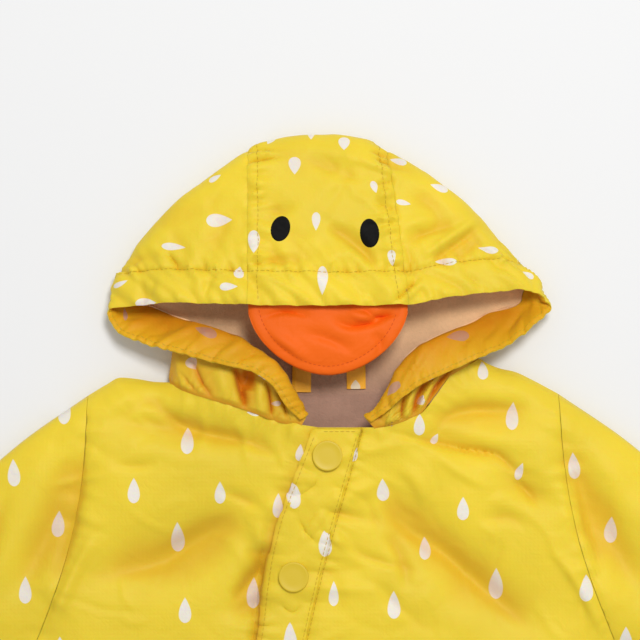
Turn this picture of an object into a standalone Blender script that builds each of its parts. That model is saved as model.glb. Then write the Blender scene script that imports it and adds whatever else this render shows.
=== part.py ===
"""A baby's puddle suit with a duck hood, laid on its back, in Blender.

The suit lies on the plane z = 0 with its front up. X runs to the viewer's right, Y to the
crown of the hood. The body, sleeves and legs are a flattened tube with soft rounded sides,
the hood is a sheet that starts at its front edge, turns over and ends at the neck seam.
"Left" is the viewer's left. Tables and sizes are in millimetres.
"""

import math

import bpy
import numpy as np
from mathutils import Vector

MM = 0.001
ON_EDGE = 1e-4  # points nearer than this to a closed edge lie on it

# Cloth
SHELL = 1.2  # wall of the coated outer cloth
LINING = 1.0  # wall of the linings and of the hem facing
FLAP = 2.0  # two layers and their seam allowance
SEAM_GAP = 0.3
SLEEVE_GAP = 0.8  # the armhole's and cuff's wall edges stand this far apart
LINING_EASE = 0.5  # the hood's lining hangs this far inside the outer cloth

# How the suit fills out on the floor
SEAM_HEIGHT = 6.5  # height of the side seams and folded edges
BODY_HEIGHT = 19.0  # the front over the back
SIDE_ROUND = 44.0  # how far in from a side the front keeps rising
UNDER_ROUND = 13.0  # the same for the back, which then lies flat
FRONT_RISE_AT_NECK = 2.5

# Outline of the suit, from the shoulder's inner end round to the crotch, one side
LEFT_SIDE = {
    "neck": (-85.8, 23.7),
    "shoulder": [(-94.3, 24.0), (-104.0, 25.6), (-113.3, 26.4), (-121.0, 22.5)],
    "shoulder_tip": (-131.0, 16.5),
    "over_arm": [(-170.0, -11.0), (-236.0, -74.0)],
    "cuff_top": (-303.0, -147.0),
    "cuff_bottom": (-247.0, -204.0),
    "under_arm_run": [(-214.0, -168.0)],
    "underarm": (-164.0, -130.0),
    "side": [(-157.0, -190.0), (-158.0, -250.0), (-165.0, -330.0), (-163.0, -430.0), (-156.0, -520.0)],
    "hem_out": (-151.0, -598.0),
    "hem_in": (-50.0, -604.0),
    "inner_leg": [(-38.0, -520.0), (-22.0, -430.0)],
}
RIGHT_SIDE = {
    "neck": (85.3, 37.2),
    "shoulder": [(90.0, 34.2), (97.0, 31.4), (104.5, 29.8), (114.4, 25.3)],
    "shoulder_tip": (129.0, 17.5),
    "over_arm": [(170.0, -11.0), (236.0, -74.0)],
    "cuff_top": (303.0, -147.0),
    "cuff_bottom": (247.0, -204.0),
    "under_arm_run": [(214.0, -168.0)],
    "underarm": (165.0, -130.0),
    "side": [(158.0, -190.0), (159.0, -250.0), (166.0, -330.0), (164.0, -430.0), (157.0, -520.0)],
    "hem_out": (152.0, -598.0),
    "hem_in": (50.0, -604.0),
    "inner_leg": [(38.0, -520.0), (22.0, -430.0)],
}
CROTCH = (0.0, -365.0)

# Neck edges of the body: x, y
FRONT_NECK_LEFT = [(-85.8, 23.7), (-71.5, 18.2), (-58.3, 15.0), (-43.5, 9.9), (-30.3, 5.5), (-12.7, 1.2)]
FRONT_NECK_RIGHT = [(25.5, -0.2), (33.0, 1.2), (42.4, 3.4), (52.1, 7.4), (61.8, 18.6), (69.5, 28.8),
                    (85.3, 37.2)]
BACK_NECK = [(-85.8, 23.7), (-62.0, 19.0), (-30.0, 17.6), (10.0, 17.6), (40.0, 18.4), (62.0, 22.5),
             (85.3, 37.2)]

# Opening line down the front, under the flap: y, x
OPENING = [(0.0, 5.6), (-15.6, 1.3), (-82.1, -17.2), (-140.0, -30.0), (-215.0, -44.0), (-300.0, -59.0),
           (-430.0, -76.0), (-601.0, -100.0)]
# Line from the neck to the crotch that parts the two halves of the grid: y, x
MIDDLE = [(0.0, 25.5), (-120.0, 24.0), (-240.0, 10.0), (-365.0, 0.0)]
FLAP_LEFT = 17.0  # from the opening line to the flap's edges
FLAP_RIGHT = 14.0
FLAP_END = -432.0
FLAP_LIFT = 0.5  # the flap lies this far over the fronts and inside their edges

# Largest folds of the front: middle x and y, angle from +X, half length, half width, depth (up is plus)
FOLD_COLUMNS = ("name", "x", "y", "angle", "long", "wide", "deep")
FOLDS = [
    ("left chest", -78.0, -2.0, -12.0, 58.0, 9.0, -3.2),
    ("left yoke ridge", -96.0, 13.0, 4.0, 46.0, 8.0, 2.2),
    ("left low diagonal", -84.0, -70.0, 21.0, 62.0, 15.0, -4.0),
    ("beside flap", -38.0, -84.0, 78.0, 30.0, 8.0, -3.5),
    ("right chest diagonal", 72.0, -76.0, -42.0, 74.0, 15.0, -4.2),
    ("right shoulder", 88.0, 6.0, 6.0, 42.0, 12.0, -3.0),
    ("right tuck", 80.0, -12.0, -15.0, 40.0, 6.0, -2.2),
    ("right arm crease", 110.0, -34.0, -34.0, 26.0, 7.0, -2.2),
    ("left arm root", -150.0, -55.0, 66.0, 60.0, 11.0, -4.0),
    ("right arm root", 152.0, -52.0, -64.0, 62.0, 11.0, -4.0),
    ("left elbow", -214.0, -96.0, -70.0, 34.0, 9.0, -3.4),
    ("right elbow", 220.0, -102.0, 64.0, 34.0, 9.0, -3.4),
    ("waist left", -96.0, -196.0, 14.0, 66.0, 15.0, -4.2),
    ("waist right", 78.0, -226.0, -18.0, 82.0, 17.0, -4.4),
    ("hip left", -112.0, -318.0, -20.0, 52.0, 14.0, -3.8),
    ("crotch left", -34.0, -394.0, 48.0, 44.0, 10.0, -3.6),
    ("crotch right", 36.0, -392.0, -52.0, 48.0, 10.0, -3.8),
    ("knee left", -112.0, -486.0, 16.0, 40.0, 13.0, -3.4),
    ("knee right", 104.0, -498.0, -12.0, 46.0, 13.0, -3.6),
]
FOLD_BOW = 0.0016  # how much a fold curves along its length
FOLD_CALM = 24.0  # folds fade out over this distance from a closed edge

# The body's grid: rows down the armhole, then at these heights; columns across each part
ARM_ROWS = 9
SIDE_STEPS = [-164.0, -200.0, -238.0, -276.0, -310.0, -340.0, -365.0, -396.0, -430.0, -468.0, -508.0, -552.0]
CROTCH_ROW = ARM_ROWS + 1 + SIDE_STEPS.index(CROTCH[1])
SHOULDER_COLUMNS = 3
OUTER_COLUMNS = 10
FLAP_COLUMNS = 2
CENTRE_COLUMNS = 2
SLEEVE_RINGS = 7
NECK_FADE = 150.0  # the neckline's shape fades out of the rows over this height
ARMHOLE_BOW = 9.0  # how far the armhole curves into the body

# Hood sections, from the left end of its front edge over the brim to the right end. Each starts on
# the front edge, runs over its turn and ends on the neck seam.
#   edge   the front edge            turn   the fold, or the point where the cloth meets the floor
#   neck   the neck seam             layer  the body layer that it is sewn to
#   shelf  height just inside a fold fold   1 a fold, 0 a slope      bend  where the run to the neck bends
HOOD_COLUMNS = ("edge", "turn", "neck", "layer", "shelf", "fold", "bend")
HOOD = [
    ((-13.8, 4.2, 25.5), (-9.8, 6.4, 22.6), (-13.0, 1.9), 1, 25.0, 1.0),
    ((-22.1, 12.4, 29.0), (-14.8, 15.6, 24.4), (-25.0, 4.0), 1, 28.0, 1.0),
    ((-29.5, 23.4, 32.0), (-21.4, 27.0, 26.0), (-38.0, 8.8), 1, 30.5, 1.0),
    ((-42.0, 31.2, 33.5), (-35.0, 42.0, 26.0), (-51.0, 13.2), 1, 30.5, 1.0),
    ((-59.2, 35.0, 32.0), (-52.0, 51.0, 23.0), (-64.0, 17.0), 1, 28.0, 1.0),
    ((-74.0, 39.0, 28.5), (-68.5, 56.5, 17.5), (-76.5, 20.8), 1, 22.0, 0.9),
    ((-88.2, 42.3, 24.0), (-81.5, 56.5, 11.5), (-85.4, 25.0), 0.5, 14.0, 0.6),
    ((-100.5, 45.8, 20.0), (-90.0, 58.5, 4.5), (-79.0, 23.0), 0, 6.0, 0.1, (-76.0, 44.0)),
    ((-111.8, 50.3, 17.0), (-98.0, 62.0, 3.6), (-72.0, 21.6), 0, 5.0, 0.1, (-72.0, 54.0)),
    ((-120.8, 62.4, 13.0), (-112.0, 68.0, 5.0), (-66.0, 20.2), 0, 7.0, 0.3, (-72.0, 64.0)),
    ((-117.6, 65.2, 16.5), (-117.8, 76.0, 8.0), (-60.0, 19.4), 0, 14.0, 0.9, (-72.0, 70.0)),
    ((-104.0, 66.8, 21.5), (-103.6, 100.0, 8.0), (-54.0, 19.0), 0, 15.5, 1.0, (-74.0, 66.0)),
    ((-85.0, 68.2, 27.0), (-84.0, 123.0, 8.0), (-48.0, 18.8), 0, 16.5, 1.0),
    ((-62.0, 67.7, 31.0), (-61.0, 139.6, 8.0), (-43.0, 18.5), 0, 17.0, 1.0),
    ((-42.4, 67.1, 33.5), (-42.4, 152.0, 8.0), (-38.0, 18.4), 0, 17.5, 1.0),
    ((-20.0, 66.8, 35.2), (-20.0, 160.0, 8.0), (-18.0, 18.2), 0, 18.0, 1.0),
    ((1.7, 66.6, 36.0), (0.0, 161.0, 8.0), (1.0, 18.2), 0, 18.0, 1.0),
    ((24.0, 66.9, 35.2), (19.0, 159.2, 8.0), (20.0, 18.2), 0, 18.0, 1.0),
    ((45.7, 67.3, 33.5), (35.0, 152.4, 8.0), (40.0, 19.0), 0, 17.5, 1.0),
    ((64.4, 70.8, 31.0), (58.0, 138.4, 8.0), (45.5, 19.8), 0, 17.0, 1.0),
    ((86.0, 73.6, 27.0), (84.0, 117.4, 8.0), (51.5, 20.9), 0, 16.5, 1.0),
    ((106.0, 74.8, 22.0), (105.0, 92.0, 8.0), (57.5, 22.4), 0, 15.0, 1.0, (76.0, 70.0)),
    ((118.5, 73.0, 17.5), (118.0, 79.0, 8.0), (63.5, 24.6), 0, 14.0, 0.9, (76.0, 74.0)),
    ((124.2, 65.0, 13.5), (114.0, 70.0, 5.0), (69.5, 28.2), 0, 7.0, 0.3, (76.0, 68.0)),
    ((114.4, 54.6, 17.0), (101.0, 64.0, 3.6), (75.0, 31.8), 0, 5.0, 0.1, (76.0, 58.0)),
    ((102.1, 45.9, 20.5), (91.5, 62.0, 4.8), (80.5, 35.6), 0, 6.0, 0.1, (79.0, 50.0)),
    ((89.5, 40.2, 24.5), (82.5, 57.5, 12.0), (84.4, 38.4), 0.5, 14.0, 0.6),
    ((77.9, 35.0, 28.5), (71.0, 53.4, 18.0), (77.0, 34.2), 1, 23.0, 0.9),
    ((66.0, 29.8, 31.0), (57.8, 47.6, 23.0), (69.0, 29.4), 1, 28.0, 1.0),
    ((53.0, 23.8, 32.5), (44.6, 38.2, 25.5), (60.8, 19.4), 1, 30.0, 1.0),
    ((41.6, 15.6, 31.5), (33.4, 21.0, 25.5), (51.4, 8.4), 1, 29.5, 1.0),
    ((33.6, 8.6, 28.5), (27.6, 12.6, 24.2), (39.0, 3.4), 1, 27.0, 1.0),
    ((25.6, 3.0, 25.5), (21.6, 5.6, 22.6), (27.0, 0.9), 1, 25.0, 1.0),
]
LAYER_TOP = 1
CHIN_LEFT, CORNER_LEFT = 6, 9  # section numbers where the hood changes its run
CORNER_RIGHT, CHIN_RIGHT = 23, 26
CENTRE_LEFT, CENTRE_RIGHT = 14, 18  # seams of the centre strip
HEM_WIDTH = 19.0
HEM_SHARE = 0.42  # most of a section that the hem takes
FOLD_ROUND = 13.0
CHIN_COLUMNS, CORNER_COLUMNS, BRIM_COLUMNS = 3, 2, 2  # grid columns from one section to the next
HEM_ROWS, HOOD_ROWS = 2, 11
PUCKER = 0.6  # height of the hem's puckers
GATHER = 0.9  # height of the gathers at the neck seam

# Trim
BILL = {
    "left": -42.0, "right": 45.2, "top": 67.6, "tip": 28.6, "wall": 2.0, "root": 29.6, "low": 27.5,
    "power": 1.8, "puff": 2.2, "sag": 2.0, "across": 14, "down": 7,
}
EYES = [
    {"name": "eye_left", "x": -24.4, "y": 108.9, "wide": 10.5, "high": 14.0, "lean": -15.0},
    {"name": "eye_right", "x": 24.4, "y": 106.4, "wide": 10.5, "high": 15.7, "lean": 4.0},
]
EYE_WALL = 1.0
SNAP = {"diameter": 16.5, "rim": 2.4, "dome": 0.5, "first": -15.6, "pitch": 66.6, "count": 7}
LOOP = {"width": 10.5, "wall": 1.2}
LOOP_PATH = [(-13.0, 18.8), (-12.8, 33.0), (-6.0, 45.5), (3.0, 48.5), (12.0, 45.5), (17.2, 34.0),
             (17.4, 20.6)]
LINING_REACH = -46.0  # the back neck lining ends here, under the front
LINING_HALF = 74.0  # and reaches this far to each side
LINING_GAP = 0.4
LOOP_ARCH = 1.6  # the loop's middle stands this much higher than its ends

COLOURS = {
    "cloth": ((0.80, 0.60, 0.045, 1.0), 0.48),
    "lining": ((0.60, 0.47, 0.40, 1.0), 0.95),
    "snap": ((0.72, 0.56, 0.05, 1.0), 0.38),
    "bill": ((0.95, 0.23, 0.015, 1.0), 0.55),
    "eye": ((0.006, 0.006, 0.007, 1.0), 0.35),
}


def smooth_values(knots, values, at):
    """Values read from a smooth curve through the table, with no overshoot between its rows."""
    knots = np.asarray(knots, float)
    values = np.asarray(values, float)
    at = np.clip(np.asarray(at, float), knots[0], knots[-1])
    step = np.diff(knots)
    slope = (np.diff(values, axis=0).T / step).T
    tangent = np.zeros_like(values)
    tangent[0] = slope[0]
    tangent[-1] = slope[-1]
    before, after = slope[:-1], slope[1:]
    same_way = before * after > 0
    total = np.where(same_way, before + after, 1.0)
    tangent[1:-1] = np.where(same_way, 2.0 * before * after / total, 0.0)
    part = np.clip(np.searchsorted(knots, at, side="right") - 1, 0, len(step) - 1)
    width = step[part]
    u = (at - knots[part]) / width
    if values.ndim > 1:
        u = u[:, None]
        width = width[:, None]
    return (
        values[part] * (1 + 2 * u) * (1 - u) ** 2
        + tangent[part] * width * u * (1 - u) ** 2
        + values[part + 1] * u**2 * (3 - 2 * u)
        + tangent[part + 1] * width * u**2 * (u - 1)
    )


def evenly(points, count):
    """Points at equal steps along a polyline."""
    points = np.asarray(points, float)
    steps = np.linalg.norm(np.diff(points, axis=0), axis=1)
    length = np.concatenate([[0.0], np.cumsum(steps)])
    want = np.linspace(0.0, length[-1], count)
    return np.stack([np.interp(want, length, points[:, axis]) for axis in range(points.shape[1])], axis=1)


def smooth_line(points, count=60):
    """A dense line through a few points, smooth between them."""
    points = np.asarray(points, float)
    steps = np.linalg.norm(np.diff(points, axis=0), axis=1)
    length = np.concatenate([[0.0], np.cumsum(steps)])
    return smooth_values(length, points, np.linspace(0.0, length[-1], count))


def edge_runs(side):
    """The closed edges of one half of the suit, as dense lines."""
    return {
        "shoulder": smooth_line([side["shoulder_tip"], *reversed(side["shoulder"]), side["neck"]]),
        "over_arm": smooth_line([side["shoulder_tip"], *side["over_arm"], side["cuff_top"]]),
        "under_arm": smooth_line([side["underarm"], *reversed(side["under_arm_run"]), side["cuff_bottom"]]),
        "side": smooth_line([side["underarm"], *side["side"], side["hem_out"]]),
        "inner_leg": smooth_line([CROTCH, *reversed(side["inner_leg"]), side["hem_in"]]),
    }


LEFT_RUNS, RIGHT_RUNS = edge_runs(LEFT_SIDE), edge_runs(RIGHT_SIDE)
CLOSED_EDGES = [*LEFT_RUNS.values(), *RIGHT_RUNS.values()]


def distance_in(xy):
    """Distance from each point to the nearest closed edge of the suit."""
    best = np.full(len(xy), np.inf)
    for run in CLOSED_EDGES:
        start, span = run[:-1], np.diff(run, axis=0)
        along = np.einsum("pij,ij->pi", xy[:, None, :] - start[None], span) / (span**2).sum(axis=1)
        foot = start[None] + np.clip(along, 0.0, 1.0)[..., None] * span[None]
        best = np.minimum(best, np.linalg.norm(xy[:, None, :] - foot, axis=2).min(axis=1))
    return np.where(best < ON_EDGE, 0.0, best)


def rounded(distance, reach):
    """A quarter round: 0 at the edge, 1 from reach inwards."""
    return np.sqrt(1.0 - (1.0 - np.clip(distance / reach, 0.0, 1.0)) ** 2)


def fold_heights(xy):
    """What the folds add to the front."""
    total = np.zeros(len(xy))
    for row in FOLDS:
        fold = dict(zip(FOLD_COLUMNS, row))
        turn = math.radians(fold["angle"])
        offset = xy - np.array([fold["x"], fold["y"]])
        along = offset @ np.array([math.cos(turn), math.sin(turn)])
        across = offset @ np.array([-math.sin(turn), math.cos(turn)])
        bend = across - FOLD_BOW * along**2
        ends = np.clip(1.0 - (along / fold["long"]) ** 2, 0.0, 1.0) ** 1.5
        total += fold["deep"] * ends * np.exp(-((bend / fold["wide"]) ** 2))
    return total


def front_height(xy):
    """Height of the middle of the front wall."""
    xy = np.atleast_2d(np.asarray(xy, float))
    inside = distance_in(xy)
    full = BODY_HEIGHT + FRONT_RISE_AT_NECK * np.clip(1.0 + xy[:, 1] / 120.0, 0.0, 1.0)
    plump = rounded(inside, SIDE_ROUND)
    calm = np.clip(inside / FOLD_CALM, 0.0, 1.0)
    return SEAM_HEIGHT + (full - SEAM_HEIGHT) * plump + fold_heights(xy) * calm


def back_height(xy):
    """Height of the middle of the back wall, flat on the floor away from its edges."""
    xy = np.atleast_2d(np.asarray(xy, float))
    return SEAM_HEIGHT - (SEAM_HEIGHT - SHELL / 2) * rounded(distance_in(xy), UNDER_ROUND)


class Form:
    """A sheet through the middle of the cloth, as faces with a panel name and a place in their grid."""

    def __init__(self):
        self.points = []
        self.number = {}
        self.faces = []
        self.panels = []
        self.places = []

    def vertex(self, point):
        key = tuple(np.round(np.asarray(point) * 1000.0).astype(int))
        if key not in self.number:
            self.number[key] = len(self.points)
            self.points.append(np.asarray(point, float))
        return self.number[key]

    def add_grid(self, points, panel_at, turned=False):
        """Faces between neighbouring points; panel_at names the panel of the face at a row and column."""
        rows, columns = points.shape[:2]
        corner = [[self.vertex(points[r, c]) for c in range(columns)] for r in range(rows)]
        for r in range(rows - 1):
            for c in range(columns - 1):
                face = [corner[r][c], corner[r + 1][c], corner[r + 1][c + 1], corner[r][c + 1]]
                if turned:
                    face.reverse()
                self.faces.append(face)
                self.panels.append(panel_at(r, c))
                self.places.append((r, c))

    def normals(self):
        """Unit normals at the points, from all the faces around them."""
        points = np.array(self.points)
        total = np.zeros_like(points)
        for face in self.faces:
            a, b, c, d = points[face]
            across = np.cross(c - a, d - b)
            for index in face:
                total[index] += across
        length = np.linalg.norm(total, axis=1)
        return total / np.maximum(length, 1e-12)[:, None]


def border_of(faces):
    """Border edges of a set of faces, each in the direction in which its face runs."""
    edges = {}
    for face in faces:
        for start, end in zip(face, face[1:] + face[:1]):
            edges[(start, end)] = True
    return [edge for edge in edges if (edge[1], edge[0]) not in edges]


def drawn_in(points, faces, border, gap):
    """Points with the border moved gap into the panel, square to the border."""
    inwards = {}
    along = {}
    edge_points = {index for edge in border for index in edge}
    for start, end in border:
        run = points[end] - points[start]
        for index in (start, end):
            along[index] = along.get(index, np.zeros(3)) + run
    for face in faces:
        middle = points[face].mean(axis=0)
        for index in face:
            if index in edge_points:
                inwards[index] = inwards.get(index, np.zeros(3)) + middle - points[index]
    moved = points.copy()
    for index, way in inwards.items():
        run = along[index]
        size = np.linalg.norm(run)
        if size > 1e-9:
            way = way - run * (way @ run) / size**2
        moved[index] = points[index] + way * gap / max(np.linalg.norm(way), 1e-9)
    return moved


def material(kind):
    """One Principled material for each kind of piece."""
    name = f"suit_{kind}"
    found = bpy.data.materials.get(name)
    if found:
        return found
    colour, roughness = COLOURS[kind]
    made = bpy.data.materials.new(name)
    made.use_nodes = True
    shader = made.node_tree.nodes["Principled BSDF"]
    shader.inputs["Base Color"].default_value = colour
    shader.inputs["Roughness"].default_value = roughness
    return made


def new_object(name, vertices, faces, kind):
    """A closed mesh object in metres."""
    mesh = bpy.data.meshes.new(name)
    mesh.from_pydata([tuple(float(value) * MM for value in point) for point in vertices], [], faces)
    mesh.shade_smooth()
    mesh.set_sharp_from_angle(angle=math.radians(50.0))
    mesh.materials.append(material(kind))
    item = bpy.data.objects.new(name, mesh)
    bpy.context.scene.collection.objects.link(item)
    return item


def halves(face):
    """The two triangles of a face, cut the same way in every layer so that layers stay apart."""
    return (face[:3], [face[0], face[2], face[3]])


def wall(name, form, chosen, outer, inner, kind, gap=SEAM_GAP / 2):
    """A closed wall over the chosen faces, from inner to outer, both measured out from the sheet."""
    points = np.array(form.points)
    normals = form.normals()
    faces = [face for face, keep in zip(form.faces, chosen) if keep]
    border = border_of(faces)
    points = drawn_in(points, faces, border, gap)
    used = sorted({index for face in faces for index in face})
    rank = {index: place for place, index in enumerate(used)}
    count = len(used)
    over = points[used] + normals[used] * outer
    under = points[used] + normals[used] * inner
    skin = [[rank[index] for index in corners] for face in faces for corners in halves(face)]
    solid = list(skin)
    solid += [[place + count for place in reversed(face)] for face in skin]
    for start, end in border:
        a, b = rank[start], rank[end]
        solid.append([b, a, a + count, b + count])
    return new_object(name, np.vstack([over, under]), solid, kind)


def x_at(table, y):
    """Reads x from a table of (y, x)."""
    rows = np.array(table)[::-1]
    return smooth_values(rows[:, 0], rows[:, 1], np.atleast_1d(y))


def clustered(count, left, right):
    """Shares from 0 to 1, closer together at an end that rounds over."""
    even = np.linspace(0.0, 1.0, count + 1)
    eased = even
    if left:
        eased = 1.0 - np.cos(even * math.pi / 2)
    if right:
        eased = np.sin(even * math.pi / 2)
    return 0.35 * even + 0.65 * eased


def side_points(side, runs):
    """Row ends on the outer side: down the armhole, then down the side to the hem."""
    armhole = np.linspace(side["shoulder_tip"], side["underarm"], ARM_ROWS + 1)
    bow = np.sin(np.linspace(0.0, math.pi, ARM_ROWS + 1)) * ARMHOLE_BOW
    armhole[:, 0] -= np.sign(armhole[:, 0]) * bow
    run = runs["side"]
    lower = np.stack([np.interp(-np.array(SIDE_STEPS), -run[:, 1], run[:, 0]), SIDE_STEPS], axis=1)
    return np.vstack([armhole, lower, [side["hem_out"]]])


def inner_points(side, runs, heights):
    """Row ends on the middle line, which runs down the inner leg below the crotch."""
    run = runs["inner_leg"]
    upper = heights[:CROTCH_ROW]
    lower = heights[CROTCH_ROW + 1 : -1]
    above = np.stack([x_at(MIDDLE, upper), upper], axis=1)
    below = np.stack([np.interp(-lower, -run[:, 1], run[:, 0]), lower], axis=1)
    return np.vstack([above, [CROTCH], below, [side["hem_in"]]])


def blended(straight, top_row, heights):
    """Rows that take the neckline's shape at the top and run straight further down."""
    fade = np.clip(1.0 - (heights[0] - heights) / NECK_FADE, 0.0, 1.0) ** 2
    return straight + (top_row - straight[0]) * fade[:, None, None]


def spread(left, right, shares):
    """Grid rows from the left ends to the right ends."""
    return left[:, None, :] + (right - left)[:, None, :] * shares[None, :, None]


def shoulder_row(runs):
    """Points from the shoulder tip to the neck along the folded top edge."""
    return evenly(runs["shoulder"], SHOULDER_COLUMNS + 1)


def body_grids():
    """Plan grids of the front halves and the back halves, in x and y."""
    grids = {}
    left_ends, right_ends = side_points(LEFT_SIDE, LEFT_RUNS), side_points(RIGHT_SIDE, RIGHT_RUNS)
    heights = 0.5 * (left_ends[:, 1] + right_ends[:, 1])
    heights[-1] = LEFT_SIDE["hem_in"][1]
    heights[: ARM_ROWS + 1] = np.linspace(0.0, heights[ARM_ROWS], ARM_ROWS + 1)
    opening = np.stack([x_at(OPENING, heights), heights], axis=1)
    flap_left = opening - [FLAP_LEFT, 0.0]
    flap_right = opening + [FLAP_RIGHT, 0.0]
    middle_left = inner_points(LEFT_SIDE, LEFT_RUNS, heights)
    middle_right = inner_points(RIGHT_SIDE, RIGHT_RUNS, heights)

    neck_left = evenly(smooth_line(FRONT_NECK_LEFT), OUTER_COLUMNS - SHOULDER_COLUMNS + 1)
    top = np.vstack([shoulder_row(LEFT_RUNS), neck_left[1:]])
    top[-1] = flap_left[0]
    outer = blended(spread(left_ends, flap_left, clustered(OUTER_COLUMNS, True, False)), top, heights)
    flap_a = spread(flap_left, opening, np.linspace(0.0, 1.0, FLAP_COLUMNS + 1))
    grids["front_left"] = np.concatenate([outer, flap_a[:, 1:]], axis=1)

    flap_b = spread(opening, flap_right, np.linspace(0.0, 1.0, FLAP_COLUMNS + 1))
    inner = spread(flap_right, middle_left, np.linspace(0.0, 1.0, CENTRE_COLUMNS + 1))
    grids["front_middle"] = np.concatenate([flap_b, inner[:, 1:]], axis=1)

    neck_right = evenly(smooth_line(FRONT_NECK_RIGHT), OUTER_COLUMNS - SHOULDER_COLUMNS + 1)
    top = np.vstack([neck_right[:-1], shoulder_row(RIGHT_RUNS)[::-1]])
    top[0] = middle_right[0]
    straight = spread(middle_right, right_ends, clustered(OUTER_COLUMNS, False, True))
    grids["front_right"] = blended(straight, top, heights)

    columns = OUTER_COLUMNS - SHOULDER_COLUMNS
    back_neck = evenly(smooth_line(BACK_NECK), 2 * columns + 1)
    top = np.vstack([shoulder_row(LEFT_RUNS), back_neck[1 : columns + 1]])
    straight = spread(left_ends, middle_left, clustered(OUTER_COLUMNS, True, False))
    grids["back_left"] = blended(straight, top, heights)
    top = np.vstack([back_neck[columns:-1], shoulder_row(RIGHT_RUNS)[::-1]])
    straight = spread(middle_right, right_ends, clustered(OUTER_COLUMNS, False, True))
    grids["back_right"] = blended(straight, top, heights)
    return grids


def sleeve_grid(runs, ends):
    """Plan grid of a sleeve, from the armhole to the cuff."""
    rings = SLEEVE_RINGS
    over, under = evenly(runs["over_arm"], rings + 1), evenly(runs["under_arm"], rings + 1)
    shares = 0.5 - 0.5 * np.cos(np.linspace(0.0, math.pi, ARM_ROWS + 1))
    armhole = ends[: ARM_ROWS + 1]
    grid = np.zeros((ARM_ROWS + 1, rings + 1, 2))
    for ring in range(rings + 1):
        straight = over[ring] + (under[ring] - over[ring]) * shares[:, None]
        fade = (1.0 - ring / rings) ** 2
        base = over[0] + (under[0] - over[0]) * shares[:, None]
        grid[:, ring] = straight + (armhole - base) * fade
    return grid


def lifted(plan, height):
    """A plan grid with its heights."""
    flat = plan.reshape(-1, 2)
    return np.concatenate([plan, height(flat).reshape(plan.shape[:2] + (1,))], axis=2)


def build_body_form():
    """The whole body as one sheet: fronts, back and sleeves."""
    form = Form()
    grids = body_grids()
    form.add_grid(lifted(grids["front_left"], front_height), lambda row, column: "front_left")
    form.add_grid(lifted(grids["front_middle"], front_height), lambda row, column: "front_right")
    form.add_grid(lifted(grids["front_right"], front_height), lambda row, column: "front_right")
    form.add_grid(lifted(grids["back_left"], back_height), lambda row, column: "back", turned=True)
    form.add_grid(lifted(grids["back_right"], back_height), lambda row, column: "back", turned=True)
    sides = (("sleeve_left", LEFT_SIDE, LEFT_RUNS), ("sleeve_right", RIGHT_SIDE, RIGHT_RUNS))
    for name, side, runs in sides:
        plan = sleeve_grid(runs, side_points(side, runs))
        facing_down = side is LEFT_SIDE
        form.add_grid(lifted(plan, front_height), lambda r, c, n=name: n, turned=facing_down)
        form.add_grid(lifted(plan, back_height), lambda r, c, n=name: n, turned=not facing_down)
    return form


def hood_stations(where):
    """Section values at fractional section numbers."""
    rows = []
    for row in HOOD:
        section = dict(zip(HOOD_COLUMNS, row))
        edge, turn, neck = section["edge"], section["turn"], section["neck"]
        layer = section["layer"]
        front, back = front_height([neck])[0], back_height([neck])[0]
        neck_height = front * layer + back * (1 - layer)
        low = neck_height if layer else SHELL / 2
        bend = section.get("bend", ((turn[0] + neck[0]) / 2, (turn[1] + neck[1]) / 2))
        rows.append([*edge, *turn, *neck, neck_height, low, section["shelf"], section["fold"], *bend])
    return smooth_values(np.arange(len(HOOD)), rows, where)


def hood_run(values, count=90):
    """One section of the hood as a dense line from the front edge to the neck seam."""
    edge, turn, neck = values[0:3], values[3:6], values[6:9]
    low, shelf, fold, bend = values[9], values[10], values[11], values[12:14]
    share = np.linspace(0.0, 1.0, count) ** 1.6
    reach = np.linalg.norm(edge[:2] - turn[:2])
    part = np.clip(share * reach / min(FOLD_ROUND, reach), 0.0, 1.0)
    rise = fold * np.sqrt(1.0 - (1.0 - part) ** 2) + (1 - fold) * part**2
    plan = turn[:2] + (edge[:2] - turn[:2]) * share[:, None]
    upper = turn[2] + (shelf - turn[2]) * rise + (edge[2] - shelf) * share**1.2
    first = np.column_stack([plan, upper])[::-1]

    u = share[:, None]
    plan = turn[:2] * (1 - u) ** 2 + 2 * bend * u * (1 - u) + neck[:2] * u**2
    reach = np.linalg.norm(neck[:2] - turn[:2])
    part = np.clip(share * reach / min(FOLD_ROUND, 0.6 * reach), 0.0, 1.0)
    drop = fold * np.sqrt(1.0 - (1.0 - part) ** 2) + (1 - fold) * (1.0 - (1.0 - part) ** 2)
    settle = np.clip((share - 0.75) / 0.25, 0.0, 1.0) ** 2
    lower = turn[2] + (low - turn[2]) * drop + (neck[2] - low) * settle
    return first, np.column_stack([plan, lower])


def hood_rows(first, second):
    """Points of one section: the hem first, then closer together round the fold."""
    line = np.vstack([first, second[1:]])
    steps = np.linalg.norm(np.diff(line, axis=0), axis=1)
    length = np.concatenate([[0.0], np.cumsum(steps)])
    fold_at = length[len(first) - 1]
    hem = min(HEM_WIDTH, HEM_SHARE * length[-1])
    wanted = list(np.linspace(0.0, hem, HEM_ROWS + 1))
    dense = 1.0 + 2.2 * np.exp(-(((length - fold_at) / 9.0) ** 2))
    weight = np.concatenate([[0.0], np.cumsum(steps * 0.5 * (dense[1:] + dense[:-1]))])
    start = np.interp(hem, length, weight)
    marks = np.linspace(start, weight[-1], HOOD_ROWS - HEM_ROWS + 1)[1:]
    wanted += list(np.interp(marks, weight, length))
    return np.stack([np.interp(wanted, length, line[:, axis]) for axis in range(3)], axis=1)


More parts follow.
